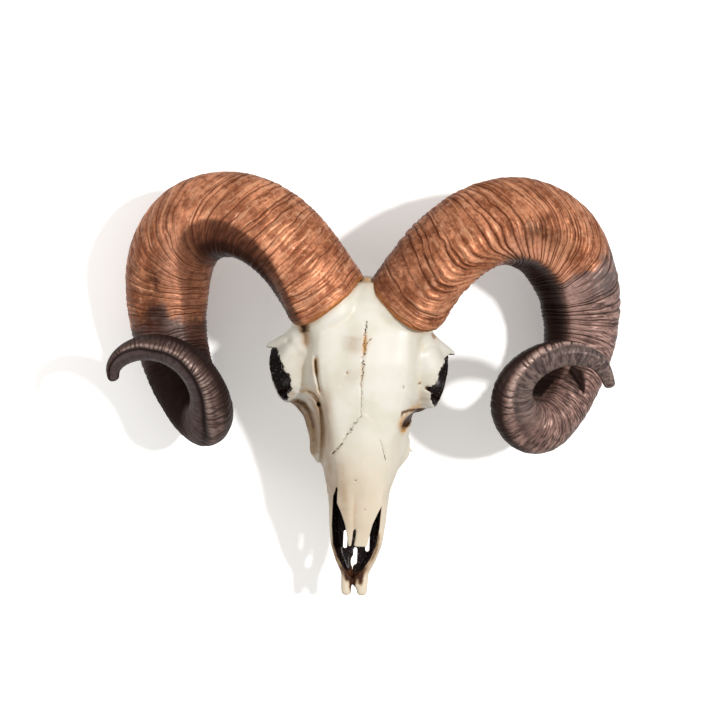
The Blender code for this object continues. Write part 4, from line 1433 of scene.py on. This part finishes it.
def make_light():
    world = bpy.data.worlds.new("studio")
    bpy.context.scene.world = world
    world.use_nodes = True
    background = world.node_tree.nodes["Background"]
    background.inputs["Color"].default_value = AMBIENT_COLOUR
    background.inputs["Strength"].default_value = AMBIENT
    key = bpy.data.lights.new("key", "SUN")
    key.energy = KEY_STRENGTH
    key.angle = math.radians(KEY_SPREAD)
    aim(placed("key", key), Vector(KEY_TRAVEL).normalized())
    fill = bpy.data.lights.new("fill", "AREA")
    fill.size = FILL_SIZE
    fill.energy = FILL_STRENGTH
    lamp = placed("fill", fill)
    lamp.location = FILL_PLACE
    aim(lamp, Vector(FILL_TARGET) - Vector(FILL_PLACE))


def make_camera():
    camera = bpy.data.cameras.new("camera")
    camera.lens = LENS
    camera.sensor_width = 36
    obj = placed("camera", camera)
    ahead = Vector((math.sin(YAW), math.cos(YAW), 0))
    level = Vector((math.cos(YAW), -math.sin(YAW), 0))
    up = Vector((0, 0, 1)) * math.cos(ROLL) - level * math.sin(ROLL)
    right = level * math.cos(ROLL) + Vector((0, 0, 1)) * math.sin(ROLL)
    turn = Matrix((right, up, -ahead)).transposed().to_4x4()
    obj.matrix_world = Matrix.Translation(Vector(TARGET) - ahead * DISTANCE) @ turn
    bpy.context.scene.camera = obj
    bpy.context.scene.view_settings.view_transform = "Standard"


# ---- The replica --------------------------------------------------------------------


def two_hollows(share, away):
    """Painted shade in the hollow inside the right horn's coil, and a painted shadow along the thin cleft
    that runs into it.
    """
    wide = 1.1 * smooth_step(-7, 7, away - np.interp(share, (0.57, 0.6, 0.63), (56, 70, 81)))
    wide = wide * (1 - smooth_step(120, 150, away)) * hump(share, 0.625, 0.05)
    middle = np.interp(away, (8, 15, 35, 50), (0.6, 0.593, 0.578, 0.572))
    narrow = 1.1 * hump(share, middle, np.interp(away, (8, 15, 35), (0.005, 0.010, 0.022)))
    return wide + narrow * window(away, (2, 10), (52, 60))


# Two rows of numbers are a table: shares of the horn's length, and the value at each.
# Angles are degrees from the horn's front towards its hollow side: "keel", "valley" and
# "rim" tell where the ridges and the furrow between them run.
LEFT_LOOKS = {
    "seed": 3,
    "seam": LEFT_SEAM,
    "keel": (
        (0, 0.06, 0.106, 0.143, 0.175, 0.23, 0.27, 0.307, 0.342, 0.394, 0.45, 0.6),
        (45, 36, 29, 25, 22, 18, 24, 36, 50, 65, 72, 74),
    ),
    "keel_height": (
        (0, 0.05, 0.18, 0.24, 0.3, 0.4, 0.5, 0.6),
        (0.06, 0.10, 0.10, 0.03, 0.03, 0.08, 0.08, 0),
    ),
    "valley": ((0, 1), (36, 36)),
    "valley_depth": ((0.32, 0.38, 0.5, 0.58), (0, 0.09, 0.09, 0)),
    "rim": (
        (0.70, 0.72, 0.737, 0.76, 0.80, 0.834, 0.854, 0.877, 0.90, 0.913, 0.946, 1),
        (-93, -90, -82, -82, -92, -102, -109, -112, -112, -122, -132, -140),
    ),
    "groove": 1.8,
    # Painted shade inside the left horn's coil
    "inside": lambda share, away: 0.85 * bell(away, 20, 75) * hump(share, 0.62, 0.085),
    "smooth_inside": 0.8,
    "deep": (-24, -60),
    "underside": (24, 38),
    "under": ((0.26, 0.34), (1, 0)),
    "spacing": ((0, 0.12, 0.25, 0.5, 0.7, 0.8, 1), (2.4, 3.6, 4.4, 3.6, 2.5, 2.4, 2.4)),
    "depth": ((0, 0.1, 0.2, 0.3, 0.45, 0.65, 0.9, 0.95, 1), (0.6, 0.65, 0.55, 0.5, 0.9, 0.6, 0.45, 0.1, 0)),
    "front_depth": 0.2,
    "rise": ((0, 0.05, 0.2, 0.35, 0.5, 1), (0, 3, 6, 6, 0, 0)),
    "slant": ((0, 0.1, 0.15, 0.25, 0.32, 0.4, 0.6, 1), (-0.15, -0.1, 0.15, 0.5, 0.45, 0.1, 0, 0)),
    "flank": ((0, 0.2, 0.27, 0.34, 0.5, 1), (0.85, 0.95, 0.9, 0.7, 0.65, 0.3)),
    "crest": ((0, 0.15, 0.28, 0.33, 0.46, 0.55, 0.6), (0.1, 0.2, 0.1, 0.8, 0.8, 0.5, 0)),
    "tips": ((0.7, 0.78, 0.92, 0.96), (0.1, 0.6, 0.6, 0)),
    # Left horn's stains; the one in the valley before the keel is painted shade
    "stain": lambda share, away: (
        0.4 * hump(share, 0.30, 0.05) * bell(away, 12, 38)
        + 0.5 * hump(share, 0.40, 0.06) * bell(away, -8, 36)
        + 0.85 * hump(share, 0.395, 0.065) * bell(away, 34, 13)
        + 0.8 * hump(share, 0.48, 0.035) * bell(away, 24, 26)
    ),
    "dark_start": 0.43,
    "dark_span": 0.09,
    "dark_valley": 0.04,
    "patina": 0.0,
    "rub": ((0, 0.48, 0.56, 0.68, 0.74, 0.9, 0.95, 1), (0.4, 0.6, 0.0, 0.1, 0.6, 0.4, 0.1, 0)),
    "recess": (0.12, 0.5),
    "light": (210, 140, 103),
    "mid": (150, 92, 62),
    "dark": (80, 60, 54),
    "rubbed": (142, 120, 112),
    # ridge: the keel's pinkish paint, lightened as a painted highlight
    "ridge": (212, 150, 120),
    "band": (84, 71, 71),
}
RIGHT_LOOKS = {
    "seed": 11,
    "seam": RIGHT_SEAM,
    "keel": (
        (0, 0.06, 0.1, 0.145, 0.182, 0.236, 0.331, 0.418, 0.506, 0.6),
        (30, 28, 31, 38, 50, 61, 65, 69, 67, 60),
    ),
    "keel_height": ((0, 0.15, 0.22, 0.3, 0.5, 0.6), (0.02, 0.03, 0.10, 0.13, 0.08, 0.04)),
    "valley": ((0.2, 0.3, 0.5, 0.57, 0.59, 0.61), (46, 43, 43, 46, 24, 12)),
    "valley_depth": ((0.2, 0.26, 0.34, 0.4, 0.53, 0.57, 0.6, 0.63), (0, 0.08, 0.06, 0, 0, 0.14, 0.14, 0)),
    "rim": (
        (0.70, 0.72, 0.74, 0.766, 0.80, 0.82, 0.84, 0.858, 0.876, 0.896, 0.922, 0.945, 1),
        (-60, -58, -55, -54, -63, -70, -79, -92, -99, -111, -118, -138, -150),
    ),
    "groove": 0.3,
    "inside": two_hollows,
    "smooth_inside": 0.0,
    "deep": (-10, -30),
    "underside": (2, 9),
    "under": ((0, 1), (1, 1)),
    "spacing": (
        (0, 0.05, 0.18, 0.25, 0.4, 0.5, 0.6, 0.7, 0.76, 0.9, 1),
        (2.4, 4.2, 4.4, 3.2, 5, 5, 3.4, 3, 3.5, 3.3, 2.5),
    ),
    "depth": (
        (0, 0.1, 0.2, 0.28, 0.36, 0.42, 0.5, 0.7, 0.9, 0.95, 1),
        (0.8, 1.3, 1.1, 0.7, 1.0, 1.1, 0.9, 0.7, 0.6, 0.15, 0),
    ),
    "front_depth": 0.9,
    "rise": ((0, 0.08, 0.16, 0.22, 0.30, 0.4, 1), (26, 36, 34, 18, 4, 0, 0)),
    "slant": ((0, 0.08, 0.15, 0.22, 0.30, 0.40, 0.5, 0.6, 1), (-0.4, -0.35, 0, 0.4, 0.6, 0.3, -0.15, 0, 0)),
    "flank": ((0, 0.17, 0.25, 0.36, 1), (0, 0, 0.85, 1, 1)),
    "crest": ((0, 0.15, 0.19, 0.33, 0.36, 0.5, 0.6), (0, 0, 0.85, 0.85, 1.0, 0.9, 0.1)),
    "tips": ((0.7, 0.76, 0.8, 0.93, 0.96), (0, 0.3, 1, 1, 0)),
    # Right horn's stains; the one beside the pink keel band is painted shade
    "stain": lambda share, away: (
        0.6 * (1 - smooth_step(0.08, 0.2, share)) * bell(away, -72, 42)
        + 0.35 * (1 - smooth_step(0.04, 0.11, share)) * bell(away, 0, 60)
        + 0.7 * hump(share, 0.24, 0.055) * bell(away, 24, 17)
    ),
    "dark_start": 0.335,
    "dark_span": 0.06,
    "dark_valley": 0.0,
    "patina": 0.7,
    "rub": ((0, 0.48, 0.6, 0.68, 0.74, 0.9, 0.95, 1), (0.8, 0.7, 0.5, 0.6, 0.25, 0.2, 0.1, 0)),
    "recess": (0.5, 1.0),
    "light": (208, 140, 104),
    "mid": (158, 98, 66),
    "dark": (134, 104, 95),
    "rubbed": (194, 156, 144),
    # ridge: the keel's pinkish paint, lightened as a painted highlight
    "ridge": (214, 154, 124),
    "band": (126, 108, 101),
}


def add_piece(obj, paint, nodes):
    obj.data.materials.clear()
    obj.data.materials.append(paint)
    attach(obj, "root")
    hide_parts(*nodes)


def main():
    for side, stations, hollow_side, looks in (
        ("left", LEFT_HORN, -1, LEFT_LOOKS),
        ("right", RIGHT_HORN, 1, RIGHT_LOOKS),
    ):
        horn = make_horn(side, stations, hollow_side, looks)
        nodes = [f"horn_{side}_{length}" for length in ("base", "bend", "curl")]
        add_piece(horn, horn_paint(f"horn_{side}_paint", looks), nodes)
    field, nose, nasal = skull_field()
    skull = skin_of(field)
    paint_skull(skull, field, nose, nasal)
    bones = ["cranium", "nasal_bones"]
    bones += [f"{bone}_{side}" for bone in ("orbit", "maxilla", "premaxilla") for side in ("left", "right")]
    add_piece(skull, bone_paint(), bones)
    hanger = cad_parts["hanger"]
    hanger.data.materials.clear()
    hanger.data.materials.append(steel())
    make_room()
    make_light()
    make_camera()


main()
